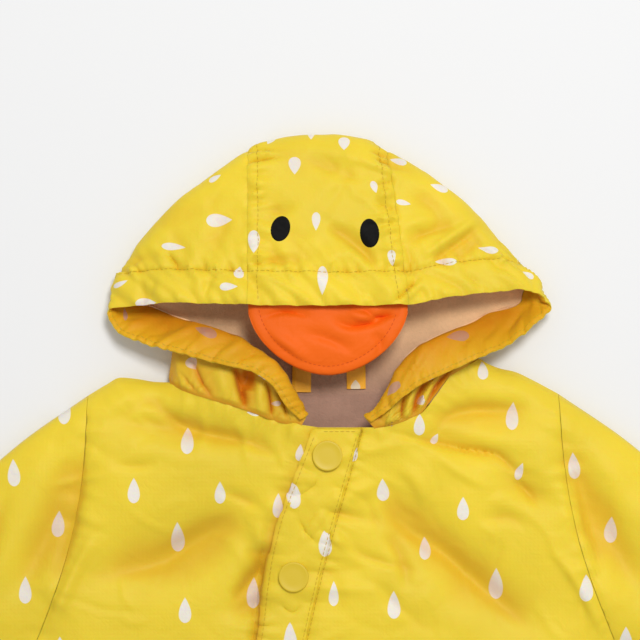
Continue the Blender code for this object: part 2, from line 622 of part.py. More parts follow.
def hood_columns():
    """Fractional section numbers of the grid's columns."""
    steps = []
    for section in range(len(HOOD) - 1):
        chin = section < CHIN_LEFT or section >= CHIN_RIGHT
        corner = not chin and (section < CORNER_LEFT or section >= CORNER_RIGHT)
        parts = CHIN_COLUMNS if chin else CORNER_COLUMNS if corner else BRIM_COLUMNS
        steps += [section + part / parts for part in range(parts)]
    return np.array(steps + [len(HOOD) - 1.0])


def build_hood_form():
    """The hood as one sheet, rows from its front edge to the neck seam."""
    where = hood_columns()
    grid = np.array([hood_rows(*hood_run(values)) for values in hood_stations(where)])
    grid = puckered(grid, where)
    form = Form()

    def panel_at(column, row):
        middle = 0.5 * (where[column] + where[column + 1])
        if middle < CENTRE_LEFT:
            return "hood_side_left"
        return "hood_centre" if middle < CENTRE_RIGHT else "hood_side_right"

    form.add_grid(grid, panel_at)
    return form


def puckered(grid, where):
    """Every second column of the hem and of the chin's neck seam lifted, as gathers do."""
    across = np.gradient(grid, axis=0)
    along = np.gradient(grid, axis=1)
    out = np.cross(across, along)
    out /= np.maximum(np.linalg.norm(out, axis=2), 1e-9)[..., None]
    rows = np.arange(grid.shape[1])
    hem = np.exp(-(((rows - HEM_ROWS) / 1.2) ** 2)) * PUCKER
    seam = np.clip((rows - (HOOD_ROWS - 4)) / 4.0, 0.0, 1.0) * GATHER
    moved = grid.copy()
    for column, section in enumerate(where):
        sign = 1.0 if column % 2 else -1.0
        chin = section < CHIN_LEFT or section > CHIN_RIGHT
        brim = CORNER_LEFT + 1 < section < CORNER_RIGHT - 1
        size = hem * brim + seam * (chin and 1.0 < section < len(HOOD) - 2.0)
        size[-1] = 0.0
        moved[column] += out[column] * (sign * size)[:, None]
    return moved


def disc_on(name, centre, normal, turn, wide, high, wall_height, dome, kind, sides=24):
    """A low domed disc with its flat back at centre, facing along normal."""
    radii = [(1.0, 0.0), (1.0, 0.72 * wall_height), (0.93, wall_height), (0.62, wall_height + 0.6 * dome)]
    up = Vector(normal).normalized()
    right = Vector((1.0, 0.0, 0.0))
    right = (right - up * right.dot(up)).normalized()
    ahead = up.cross(right)
    vertices, faces = [], []
    for radius, height in radii:
        for step in range(sides):
            angle = 2 * math.pi * step / sides
            a, b = radius * wide / 2 * math.cos(angle), radius * high / 2 * math.sin(angle)
            x = a * math.cos(turn) - b * math.sin(turn)
            y = a * math.sin(turn) + b * math.cos(turn)
            vertices.append(Vector(centre) + right * x + ahead * y + up * height)
    vertices += [Vector(centre), Vector(centre) + up * (wall_height + dome)]
    bottom, top = len(vertices) - 2, len(vertices) - 1
    last = (len(radii) - 1) * sides
    for step in range(sides):
        after = (step + 1) % sides
        faces.append([bottom, after, step])
        faces.append([top, last + step, last + after])
        for ring in range(len(radii) - 1):
            low, high_ring = ring * sides, (ring + 1) * sides
            faces.append([low + step, low + after, high_ring + after, high_ring + step])
    return new_object(name, vertices, faces, kind)


def seat_for_disc(item, x, y, radius):
    """Highest point and slope of a finished piece's upper side under a disc, in millimetres."""
    hits = []
    angles = [math.pi * step / 4 for step in range(8)]
    around = [(0.0, 0.0)] + [(math.cos(angle), math.sin(angle)) for angle in angles]
    for dx, dy in around:
        start = Vector(((x + dx * radius) * MM, (y + dy * radius) * MM, 1.0))
        hit, place, _, _ = item.ray_cast(start, Vector((0.0, 0.0, -1.0)))
        if hit:
            hits.append((dx * radius, dy * radius, place.z / MM))
    data = np.array(hits)
    terms = np.column_stack([data[:, 0], data[:, 1], np.ones(len(data))])
    (slope_x, slope_y, level), *_ = np.linalg.lstsq(terms, data[:, 2], rcond=None)
    proud = (data[:, 2] - terms @ np.array([slope_x, slope_y, level])).max()
    return level + proud, (-slope_x, -slope_y, 1.0)


def ribbon(name, path, heights, width, wall_height, kind):
    """A flat band of even width along a path, lying at the given heights of its middle."""
    path = np.asarray(path, float)
    run = np.gradient(path, axis=0)
    run /= np.linalg.norm(run, axis=1)[:, None]
    aside = np.stack([-run[:, 1], run[:, 0]], axis=1)
    form = Form()
    rows = np.array([path + aside * width / 2 * share for share in (1.0, 0.0, -1.0)])
    levels = np.broadcast_to(np.asarray(heights)[None, :, None], rows.shape[:2] + (1,))
    grid = np.concatenate([rows, levels], axis=2)
    form.add_grid(grid, lambda r, c: name)
    return wall(name, form, [True] * len(form.faces), wall_height / 2, -wall_height / 2, kind, gap=0.0)


def build_bill():
    """The half-round bill: its root tucked under the brim, its tip lower down over the mouth."""
    half = (BILL["right"] - BILL["left"]) / 2
    centre = (BILL["right"] + BILL["left"]) / 2
    deep = BILL["top"] - BILL["tip"]
    across, down, power = BILL["across"], BILL["down"], BILL["power"]
    grid = np.zeros((down + 1, across + 1, 3))
    for row in range(down + 1):
        v = row / down
        for column in range(across + 1):
            u = -1.0 + 2.0 * column / across
            x = centre + half * u
            edge = max(0.0, 1.0 - (0.985 * abs(u)) ** power) ** (1.0 / power)
            y = BILL["top"] - deep * v * edge
            fall = (BILL["top"] - y) / deep
            z = BILL["root"] - BILL["sag"] * u * u + (BILL["low"] - BILL["root"]) * fall
            z += BILL["puff"] * math.sin(math.pi * fall)
            grid[row, column] = (x, y, z)
    form = Form()
    form.add_grid(grid, lambda r, c: "bill")
    return wall("bill", form, [True] * len(form.faces), BILL["wall"] / 2, -BILL["wall"] / 2, "bill", gap=0.0)


def build_body():
    """Fronts, back, sleeves, the flap on the fronts and the lining on the back."""
    form = build_body_form()
    half = SHELL / 2
    for name in ("front_left", "front_right", "back", "sleeve_left", "sleeve_right"):
        chosen = [panel == name for panel in form.panels]
        gap = SLEEVE_GAP if "sleeve" in name else SEAM_GAP
        wall(name, form, chosen, half, -half, "cloth", gap=gap / 2)

    points = np.array(form.points)
    chosen = []
    blocks = np.array([points[face].mean(axis=0) for face in form.faces])
    for face, panel, place, middle in zip(form.faces, form.panels, form.places, blocks):
        line = x_at(OPENING, middle[1])[0]
        on_flap = line - FLAP_LEFT < middle[0] < line + FLAP_RIGHT and middle[1] > FLAP_END
        chosen.append(on_flap and panel in ("front_left", "front_right"))
    base = half + SEAM_GAP
    raised = half + FLAP_LIFT
    flap = wall("storm_flap", form, chosen, raised + FLAP, raised, "cloth", gap=FLAP_LIFT)

    chosen = []
    for panel, middle in zip(form.panels, blocks):
        under_neck = abs(middle[0]) < LINING_HALF and middle[1] > LINING_REACH
        chosen.append(panel == "back" and under_neck)
    wall("back_neck_lining", form, chosen, -base, -base - LINING, "lining", gap=LINING_GAP)
    return flap


def build_hood():
    """The hood's panels, the facing of its hem and its lining."""
    form = build_hood_form()
    half = SHELL / 2
    for name in ("hood_centre", "hood_side_left", "hood_side_right"):
        wall(name, form, [panel == name for panel in form.panels], half, -half, "cloth")
    base = -half - SEAM_GAP
    hem = [row < HEM_ROWS for _, row in form.places]
    wall("hem_facing", form, hem, base, base - LINING, "cloth", gap=SEAM_GAP)
    base = -half - LINING_EASE
    wall("hood_lining", form, [not on_hem for on_hem in hem], base, base - LINING, "lining", gap=SEAM_GAP)


def build_trim(flap):
    """Snaps, eyes, bill and hanger loop."""
    for number in range(SNAP["count"]):
        y = SNAP["first"] - number * SNAP["pitch"]
        x = x_at(OPENING, y)[0]
        level, normal = seat_for_disc(flap, x, y, SNAP["diameter"] / 2)
        disc_on(f"snap_{number + 1}", (x, y, level + SEAM_GAP), normal, 0.0, SNAP["diameter"],
                SNAP["diameter"], SNAP["rim"], SNAP["dome"], "snap")
    centre = bpy.data.objects["hood_centre"]
    for eye in EYES:
        level, normal = seat_for_disc(centre, eye["x"], eye["y"], eye["high"] / 2)
        disc_on(eye["name"], (eye["x"], eye["y"], level + SEAM_GAP), normal, math.radians(eye["lean"]),
                eye["wide"], eye["high"], EYE_WALL, 0.15, "eye", sides=20)
    build_bill()
    path = evenly(smooth_line(LOOP_PATH), 15)
    base = SHELL + SEAM_GAP + LINING + SEAM_GAP + LOOP["wall"] / 2
    arch = np.sin(np.linspace(0.0, math.pi, len(path))) * LOOP_ARCH
    ribbon("hanger_loop", path, base + 0.1 + arch, LOOP["width"], LOOP["wall"], "cloth")


def main():
    for item in list(bpy.data.objects):
        bpy.data.objects.remove(item, do_unlink=True)
    flap = build_body()
    build_hood()
    bpy.context.view_layer.update()
    build_trim(flap)


main()
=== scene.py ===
"""A baby's puddle suit with a duck hood, laid on its back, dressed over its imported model.

The cloth of the body and of the hood are two mid-surfaces. Every panel, facing and lining is a
thin wall on one of them, so layers stay apart and neighbours meet at their seams. X runs to the
viewer's right, Y to the crown of the hood and Z up. Tables and sizes are in millimetres.
"""

from __future__ import annotations

import logging
import math
from dataclasses import dataclass, field
from enum import Enum
from typing import Callable, Iterable, Sequence

import bmesh
import bpy
import numpy as np
from mathutils import Matrix, Vector

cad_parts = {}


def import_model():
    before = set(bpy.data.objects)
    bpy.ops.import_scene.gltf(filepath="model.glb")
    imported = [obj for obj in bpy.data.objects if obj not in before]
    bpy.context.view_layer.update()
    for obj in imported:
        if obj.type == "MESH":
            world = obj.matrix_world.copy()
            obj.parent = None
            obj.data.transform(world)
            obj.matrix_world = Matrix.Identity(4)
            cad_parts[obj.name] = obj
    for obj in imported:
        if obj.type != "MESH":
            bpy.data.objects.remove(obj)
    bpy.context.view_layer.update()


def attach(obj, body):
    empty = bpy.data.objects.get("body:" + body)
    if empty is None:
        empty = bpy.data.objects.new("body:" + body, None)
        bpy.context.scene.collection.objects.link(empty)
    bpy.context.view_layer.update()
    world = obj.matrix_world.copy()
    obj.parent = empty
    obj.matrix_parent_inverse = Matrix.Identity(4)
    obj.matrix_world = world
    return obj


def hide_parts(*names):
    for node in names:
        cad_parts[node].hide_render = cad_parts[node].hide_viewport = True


LOG = logging.getLogger("puddle_suit")

MM = 0.001
FAR = 1e9
ON_EDGE = 1e-4  # points nearer than this to a closed edge lie on it

Array = np.ndarray
Point2 = tuple[float, float]
Point3 = tuple[float, float, float]


class Slot(Enum):
    """The record's material slots."""

    CLOTH = "cloth"
    LINING = "lining"
    SNAP = "snap"
    BILL = "bill_cloth"
    EYE = "eye_cloth"


# ---------------------------------------------------------------------------
# Curves
# ---------------------------------------------------------------------------


def smooth_values(knots: Sequence[float], values: Array, at: Array) -> Array:
    """Reads a smooth curve through a table, with no overshoot between its rows.

    Args:
        knots: Rising positions of the rows.
        values: One row of values for each knot.
        at: Positions to read.

    Returns:
        The values at those positions.
    """
    knots = np.asarray(knots, float)
    values = np.asarray(values, float)
    at = np.clip(np.asarray(at, float), knots[0], knots[-1])
    step = np.diff(knots)
    slope = (np.diff(values, axis=0).T / step).T
    tangent = np.zeros_like(values)
    tangent[0] = slope[0]
    tangent[-1] = slope[-1]
    before, after = slope[:-1], slope[1:]
    same_way = before * after > 0
    total = np.where(same_way, before + after, 1.0)
    tangent[1:-1] = np.where(same_way, 2.0 * before * after / total, 0.0)
    part = np.clip(np.searchsorted(knots, at, side="right") - 1, 0, len(step) - 1)
    width = step[part]
    u = (at - knots[part]) / width
    if values.ndim > 1:
        u = u[:, None]
        width = width[:, None]
    return (
        values[part] * (1 + 2 * u) * (1 - u) ** 2
        + tangent[part] * width * u * (1 - u) ** 2
        + values[part + 1] * u**2 * (3 - 2 * u)
        + tangent[part + 1] * width * u**2 * (u - 1)
    )


def lengths_along(points: Array) -> Array:
    """Distance from the first point to each point of a polyline."""
    steps = np.linalg.norm(np.diff(points, axis=0), axis=1)
    return np.concatenate([[0.0], np.cumsum(steps)])


def at_lengths(points: Array, wanted: Array) -> Array:
    """Points of a polyline at given distances along it."""
    length = lengths_along(points)
    return np.stack([np.interp(wanted, length, points[:, axis]) for axis in range(points.shape[1])], axis=1)


def evenly(points: Array, count: int) -> Array:
    """Points at equal steps along a polyline."""
    points = np.asarray(points, float)
    return at_lengths(points, np.linspace(0.0, lengths_along(points)[-1], count))


def smooth_line(points: Sequence[Sequence[float]], count: int = 60) -> Array:
    """A dense line through a few points, smooth between them."""
    points = np.asarray(points, float)
    length = lengths_along(points)
    return smooth_values(length, points, np.linspace(0.0, length[-1], count))


def nearest_on(line: Array, xy: Array) -> tuple[Array, Array, Array]:
    """Where points lie beside a polyline.

    Args:
        line: The polyline, in plan.
        xy: The points, in plan.

    Returns:
        Distance to the line, signed distance (plus on the left) and length along it.
    """
    start, span = line[:-1], np.diff(line, axis=0)
    square = np.maximum((span**2).sum(axis=1), 1e-12)
    length = lengths_along(line)
    best = np.full(len(xy), FAR)
    signed = np.zeros(len(xy))
    along = np.zeros(len(xy))
    for index in range(len(start)):
        offset = xy - start[index]
        share = np.clip((offset @ span[index]) / square[index], 0.0, 1.0)
        gap = offset - share[:, None] * span[index]
        distance = np.hypot(gap[:, 0], gap[:, 1])
        nearer = distance < best
        side = np.sign(span[index][0] * offset[:, 1] - span[index][1] * offset[:, 0])
        best = np.where(nearer, distance, best)
        signed = np.where(nearer, distance * side, signed)
        along = np.where(nearer, length[index] + share * math.sqrt(square[index]), along)
    return best, signed, along


def rounded(distance: Array, reach: float) -> Array:
    """A quarter round: 0 at the edge, 1 from reach inwards."""
    return np.sqrt(1.0 - (1.0 - np.clip(distance / reach, 0.0, 1.0)) ** 2)


def bell(value: Array, width: float) -> Array:
    """A soft bump, 1 at zero."""
    return np.exp(-((value / width) ** 2))


def waves(position: Array, spacing: float, seed: float) -> Array:
    """Uneven waves along a seam, between -1 and 1, the same at every run."""
    phase = 2.0 * math.pi * position / spacing
    wander = 1.3 * np.sin(phase * 0.213 + seed) + 0.8 * np.sin(phase * 0.371 + 2.1 * seed)
    size = 0.62 + 0.38 * np.sin(phase * 0.157 + 1.7 * seed) * np.sin(phase * 0.093 + 0.4 * seed)
    return np.sin(phase + wander) * size


def slack(xy: Array, seed: int, size: float, height: float) -> Array:
    """Soft uneven waves of loose cloth.

    Args:
        xy: Plan points.
        seed: Which pattern.
        size: The usual wave length.
        height: The usual height.

    Returns:
        Heights above and below zero.
    """
    draw = np.random.RandomState(seed)
    total = np.zeros(len(xy))
    for _ in range(9):
        angle, length = draw.uniform(0.0, math.pi), size * draw.uniform(0.6, 1.8)
        way = np.array([math.cos(angle), math.sin(angle)])
        bend = 0.35 * length * np.sin(xy @ way[::-1] / (1.7 * length) * 2.0 * math.pi + draw.uniform(0.0, 6.0))
        total += np.sin((xy @ way + bend) / length * 2.0 * math.pi + draw.uniform(0.0, 6.0)) * draw.uniform(0.4, 1.0)
    return height * total / 2.2


def scattered_creases(seed: int, count: int, low: Point2, high: Point2) -> list[Crease]:
    """Small wrinkles between the main creases.

    Args:
        seed: Which pattern.
        count: How many.
        low: Lower corner of their box.
        high: Upper corner.

    Returns:
        The wrinkles.
    """
    draw = np.random.RandomState(seed)
    made = []
    for _ in range(count):
        middle = np.array([draw.uniform(low[0], high[0]), draw.uniform(low[1], high[1])])
        angle, half = draw.normal(-0.2, 0.8), draw.uniform(7.0, 22.0)
        way = np.array([math.cos(angle), math.sin(angle)]) * half
        aside = np.array([-way[1], way[0]]) * draw.uniform(-0.35, 0.35)
        points = tuple((float(p[0]), float(p[1])) for p in (middle - way, middle + aside, middle + way))
        deep = draw.uniform(0.08, 0.36) * (1.0 if draw.rand() < 0.4 else -1.0)
        made.append(Crease(points, draw.uniform(1.6, 3.6), deep, draw.uniform(0.5, 1.0)))
    return made


@dataclass
class Puckers:
    """Short uneven pleats across a seam, as thread tension draws them."""

    seed: int
    length: float
    spacing: float
    reach: float
    height: float
    lean: float = 0.35
    sharp: float = 0.30

    def at(self, along: Array, beside: Array) -> Array:
        """What the pleats add at distances along the seam and beside it."""
        draw = np.random.RandomState(self.seed)
        total = np.zeros(np.broadcast(along, beside).shape)
        place = 0.0
        while place < self.length:
            place += self.spacing * draw.uniform(0.55, 1.45)
            height = self.height * draw.uniform(0.35, 1.0) * (1.0 if draw.rand() < 0.62 else -0.8)
            wide = self.spacing * self.sharp * draw.uniform(0.7, 1.35)
            reach = self.reach * draw.uniform(0.45, 1.35)
            lean = self.lean * draw.uniform(-1.0, 1.0)
            middle = self.reach * draw.uniform(-0.15, 0.25)
            total += height * bell(along - place - lean * beside, wide) * bell(beside - middle, reach)
        return total


# ---------------------------------------------------------------------------
# The suit's outline and tables
# ---------------------------------------------------------------------------

LEFT_SIDE = {
    "neck": (-85.8, 23.7),
    "shoulder": [(-94.3, 24), (-104, 25.6), (-113.3, 26.4), (-121, 22.5)],
    "shoulder_tip": (-131, 16.5),
    "over_arm": [(-170, -11), (-236, -74)],
    "cuff_top": (-303, -147),
    "cuff_bottom": (-247, -204),
    "under_arm_run": [(-214, -168)],
    "underarm": (-164, -130),
    "side": [(-157, -190), (-158, -250), (-165, -330), (-163, -430), (-156, -520)],
    "hem_out": (-151, -598),
    "hem_in": (-50, -604),
    "inner_leg": [(-38, -520), (-22, -430)],
}
RIGHT_SIDE = {
    "neck": (85.3, 37.2),
    "shoulder": [(90, 34.2), (97, 31.4), (104.5, 29.8), (114.4, 25.3)],
    "shoulder_tip": (129, 17.5),
    "over_arm": [(170, -11), (236, -74)],
    "cuff_top": (303, -147),
    "cuff_bottom": (247, -204),
    "under_arm_run": [(214, -168)],
    "underarm": (165, -130),
    "side": [(158, -190), (159, -250), (166, -330), (164, -430), (157, -520)],
    "hem_out": (152, -598),
    "hem_in": (50, -604),
    "inner_leg": [(38, -520), (22, -430)],
}
CROTCH = (0.0, -365.0)
FRONT_NECK_LEFT = [(-85.8, 23.7), (-71.5, 18.2), (-58.3, 15.0), (-43.5, 9.9), (-30.3, 5.5), (-12.7, 1.2)]
FRONT_NECK_RIGHT = [(25.5, -0.2), (33.0, 1.2), (42.4, 3.4), (52.1, 7.4), (61.8, 18.6), (69.5, 28.8), (85.3, 37.2)]
BACK_NECK = [(-85.8, 23.7), (-62.0, 19.0), (-30.0, 17.6), (10.0, 17.6), (40.0, 18.4), (62.0, 22.5), (85.3, 37.2)]
# Opening line down the front, under the flap, and the line that parts the grid's halves: y, x
OPENING = [(0, 5.6), (-15.6, 1.3), (-82.1, -17.2), (-140, -30), (-215, -44), (-300, -59),
           (-430, -76), (-601, -100)]
# The flap's reach to the left of the opening line: y, reach; its top corner is cut off
FLAP_REACH = [(0, 9.4), (-4.1, 12), (-14, 13.4), (-32, 15.2), (-52.5, 17), (-70, 16.4), (-86.2, 15),
              (-117.2, 12), (-180, 14.5), (-240, 17), (-601, 17)]
MIDDLE = [(0.0, 25.5), (-120.0, 24.0), (-240.0, 10.0), (-365.0, 0.0)]


def edge_runs(side: dict) -> dict[str, Array]:
    """The closed edges of one half of the suit, as dense lines."""
    return {
        "shoulder": smooth_line([side["shoulder_tip"], *reversed(side["shoulder"]), side["neck"]]),
        "over_arm": smooth_line([side["shoulder_tip"], *side["over_arm"], side["cuff_top"]]),
        "under_arm": smooth_line([side["underarm"], *reversed(side["under_arm_run"]), side["cuff_bottom"]]),
        "side": smooth_line([side["underarm"], *side["side"], side["hem_out"]]),
        "inner_leg": smooth_line([CROTCH, *reversed(side["inner_leg"]), side["hem_in"]]),
    }


LEFT_RUNS, RIGHT_RUNS = edge_runs(LEFT_SIDE), edge_runs(RIGHT_SIDE)


def x_at(table: Sequence[Point2], y: Array) -> Array:
    """Reads x from a table of (y, x)."""
    rows = np.array(table)[::-1]
    return smooth_values(rows[:, 0], rows[:, 1], np.atleast_1d(y))


@dataclass(frozen=True)
class Crease:
    """One soft trough or ridge of the cloth, along a line in plan.

    The slope is gentle on the line's left and steeper on its right by the share steep.
    """

    points: tuple[Point2, ...]
    wide: float
    deep: float
    steep: float = 0.6

    def height(self, xy: Array) -> Array:
        """What the crease adds at each point."""
        line = smooth_line(self.points, 16)
        low, high = line.min(axis=0) - 3 * self.wide, line.max(axis=0) + 3 * self.wide
        near = ((xy > low) & (xy < high)).all(axis=1)
        total = np.zeros(len(xy))
        if near.any():
            distance, signed, along = nearest_on(line, xy[near])
            share = along / lengths_along(line)[-1]
            taper = np.sin(np.clip(share, 0.02, 0.98) * math.pi) ** 0.7
            width = np.where(signed > 0, self.wide, self.wide * self.steep)
            total[near] = self.deep * taper * np.exp(-((distance / width) ** 2))
        return total


def creases(*rows: tuple[float, ...]) -> list[Crease]:
    """Creases from rows of half width, depth (up is plus), then x, y of each point."""
    return [Crease(tuple(zip(row[2::2], row[3::2])), row[0], row[1]) for row in rows]


def summed(parts: Sequence[Crease], xy: Array) -> Array:
    """What some creases add together."""
    return sum((part.height(xy) for part in parts), np.zeros(len(xy)))


# Largest folds of the front, the same as the solids have: x, y, angle, half length, half width, depth
FOLDS = [
    (-78, -2, -12, 58, 9, -3.2), (-96, 13, 4, 46, 8, 2.2), (-84, -70, 21, 62, 15, -4),
    (-38, -84, 78, 30, 8, -3.5), (72, -76, -42, 74, 15, -4.2), (88, 6, 6, 42, 12, -3),
    (80, -12, -15, 40, 6, -2.2), (110, -34, -34, 26, 7, -2.2), (-150, -55, 66, 60, 11, -4),
    (152, -52, -64, 62, 11, -4), (-214, -96, -70, 34, 9, -3.4), (220, -102, 64, 34, 9, -3.4),
    (-96, -196, 14, 66, 15, -4.2), (78, -226, -18, 82, 17, -4.4), (-112, -318, -20, 52, 14, -3.8),
    (-34, -394, 48, 44, 10, -3.6), (36, -392, -52, 48, 10, -3.8), (-112, -486, 16, 40, 13, -3.4),
    (104, -498, -12, 46, 13, -3.6),
]
FOLD_BOW = 0.0016  # how much a fold curves along its length

# Smaller creases of the front, where the photograph shows them, then similar ones lower down
FRONT_CREASES = creases(
    (2, -0.8, -16, -49, -11, -57, -4, -65), (2.4, 0.7, 1, -43, -5, -52, -14, -63),
    (2.4, -0.6, -2, -26, -8, -33, -17, -39), (2, 0.5, -14, -70, -20, -74, -28, -73),
    (2.4, -0.7, -26, -96, -18, -102, -12, -99), (3, -0.9, 9, -60, 21, -71, 33, -75, 47, -79),
    (2.6, -0.8, 0, -78, 6, -90, 4, -106), (2.6, -0.6, 14, -34, 24, -44, 30, -58),
    (5, -1.7, -119, 2, -98, 13.5, -74, -2, -42, -9, -18, -19), (3.5, -1, -118, -21, -104, -22, -92, -20),
    (7, -1.5, -120, -82, -92, -76, -66, -60, -46, -52), (4, -0.9, -60, -34, -45, -40, -31, -47),
    (4.5, -1.7, -52, -96, -41, -86, -34, -74), (3.5, 0.8, -50, 4, -44, -7, -43, -20),
    (3.5, 0.7, -68, 10, -66, -2, -70, -14), (6.5, -2, 30, -40, 46, -57, 66, -71, 86, -89, 112, -110),
    (5, -1.2, 34, -58, 42, -74, 46, -92), (5, 0.9, 40, -22, 48, -28, 58, -46),
    (2.6, -1.5, 33, -2, 47, -6, 74, -12.5, 94, -15.4, 105, -24, 115, -28), (5, -1.5, 58, 2, 80, 8.5, 114, 10),
    (3, -1.1, 104, -29, 110, -35, 116, -42), (4, 0.7, 60, -14, 72, -24, 90, -34),
    (5, -0.9, 84, -52, 98, -50, 112, -54), (5, -1, 28, -86, 38, -98, 54, -108),
    (5, -1.5, -134, -20, -140, -52, -150, -86), (4, 1.1, -128, -60, -140, -84, -152, -112),
    (5, -1.5, 136, -18, 144, -50, 152, -84), (4, 1.1, 124, -66, 140, -88, 154, -116),
    (5, -1.6, -176, -36, -184, -66, -196, -98), (5, -1.6, -232, -90, -226, -118, -232, -146),
    (4, -1.2, -262, -116, -250, -140, -246, -166), (5, -1.6, 178, -38, 190, -68, 194, -104),
    (5, -1.6, 236, -94, 228, -122, 236, -150), (4, -1.2, 266, -120, 254, -144, 248, -172),
    (7, -1.6, -148, -152, -110, -148, -74, -134), (8, -1.8, -150, -224, -116, -232, -86, -252),
    (6, -1.3, -84, -176, -70, -196, -64, -220), (7, -1.8, 20, -150, 58, -162, 100, -158, 142, -168),
    (8, -1.7, 8, -254, 44, -268, 92, -262), (6, 1.2, 60, -196, 96, -206, 134, -198),
    (8, -1.8, 150, -300, 118, -312, 84, -304), (6, -1.4, -154, -284, -126, -292, -100, -286),
    (7, -1.6, -140, -372, -110, -384, -84, -380), (6, -1.5, -50, -340, -36, -366, -30, -398),
    (6, -1.5, 26, -350, 46, -374, 56, -404), (7, -1.6, 142, -372, 112, -386, 88, -384),
    (7, -1.7, -132, -440, -100, -450, -66, -444), (7, -1.7, 44, -450, 82, -460, 124, -452),
    (7, -1.7, -140, -530, -112, -542, -84, -536), (7, -1.7, 66, -544, 98, -552, 130, -546),
    (5, -1.2, -60, -500, -52, -528, -58, -556), (5, -1.2, 60, -500, 70, -524, 66, -556),
)

# Creases of the hood's upper side
HOOD_CREASES = [
    *creases((5.5, -2.2, 1, 111, 13.5, 102, 24, 93, 30, 84)),
    Crease(((54, 93.5), (68, 103.5), (84, 114.5)), 2.1, 1.7, steep=0.9),
    *creases(
        (3.2, -1.3, 58, 91, 70, 99, 86, 110.5), (5, -1.9, 44, 100, 56, 107, 72, 111),
        (6, -1.6, 58, 92, 72, 95, 88, 106), (1.8, -1.3, -88, 96, -83, 91, -79.5, 87),
        (4, -1.1, -112, 87, -100, 93, -92, 90), (4.5, -1.5, -34, 96, -26, 91, -12, 92),
        (4, -1, -32, 122, -24, 118, -16, 122), (7, -1, -62, 94, -58, 106, -52, 116),
        (6, -1.1, -12, 150, 2, 142, 20, 138), (4, 0.7, 12, 130, 26, 122, 32, 112),
        (5, 0.9, 40, 108, 50, 112, 60, 108), (4, -0.9, 28, 150, 40, 143, 52, 141),
        (6, -0.9, 46, 130, 58, 122, 66, 112), (1.8, -1.9, 36, 67, 43, 73, 52, 81.5),
        (2.2, 1.2, 41, 68, 47, 73, 54, 79.5), (8, -0.9, -92, 108, -80, 116, -66, 120),
        (5, -0.8, 88, 84, 100, 88, 112, 82), (2.8, -0.9, -66, 71, -64, 77, -60, 83),
        (3, -0.7, -98, 70, -94, 76, -92, 82),
    ),
]

# Pleats, pockets and puffs of the hood's outer side between the lips and the neck seam
CHIN_CREASES = creases(
    (1.8, -2.6, -72.6, 37.5, -69, 27, -62.2, 16), (1.4, -1.8, -79, 31, -74.5, 24, -68.8, 18),
    (3.2, 1.4, -81, 40, -79, 31, -74.3, 20), (5, 2.6, -58.5, 34.5, -56.5, 25, -52.4, 13),
    (2.6, -6.5, -50, 34, -47.5, 24, -44, 10), (4.6, -6.5, -42, 33.5, -43, 27, -43.4, 19),
    (3, 2, -36.5, 26, -36, 17, -35, 6), (1.7, -3.2, -31.9, 25.5, -30.5, 15, -29, 4),
    (1.6, -1.8, -26.5, 20, -22, 10, -21, 3), (2, 1.5, -24.8, 21, -19, 11.5, -14.9, 2.5),
    (4, -5.5, 70, 32, 61, 22, 55, 8), (2.2, 2.6, 63, 29, 55.5, 18, 51, 6),
    (2.6, -4.5, 57, 27, 50.5, 17, 47.4, 5), (2.4, 1.8, 50, 23.5, 46.5, 14, 44, 4),
    (1.6, -2.8, 44, 19, 42.2, 12, 41.4, 3), (1.8, 1.3, 38, 14.5, 36, 9, 34.5, 2),
    (1.4, -1.8, 33.5, 12.5, 30, 7, 27.9, 1),
)

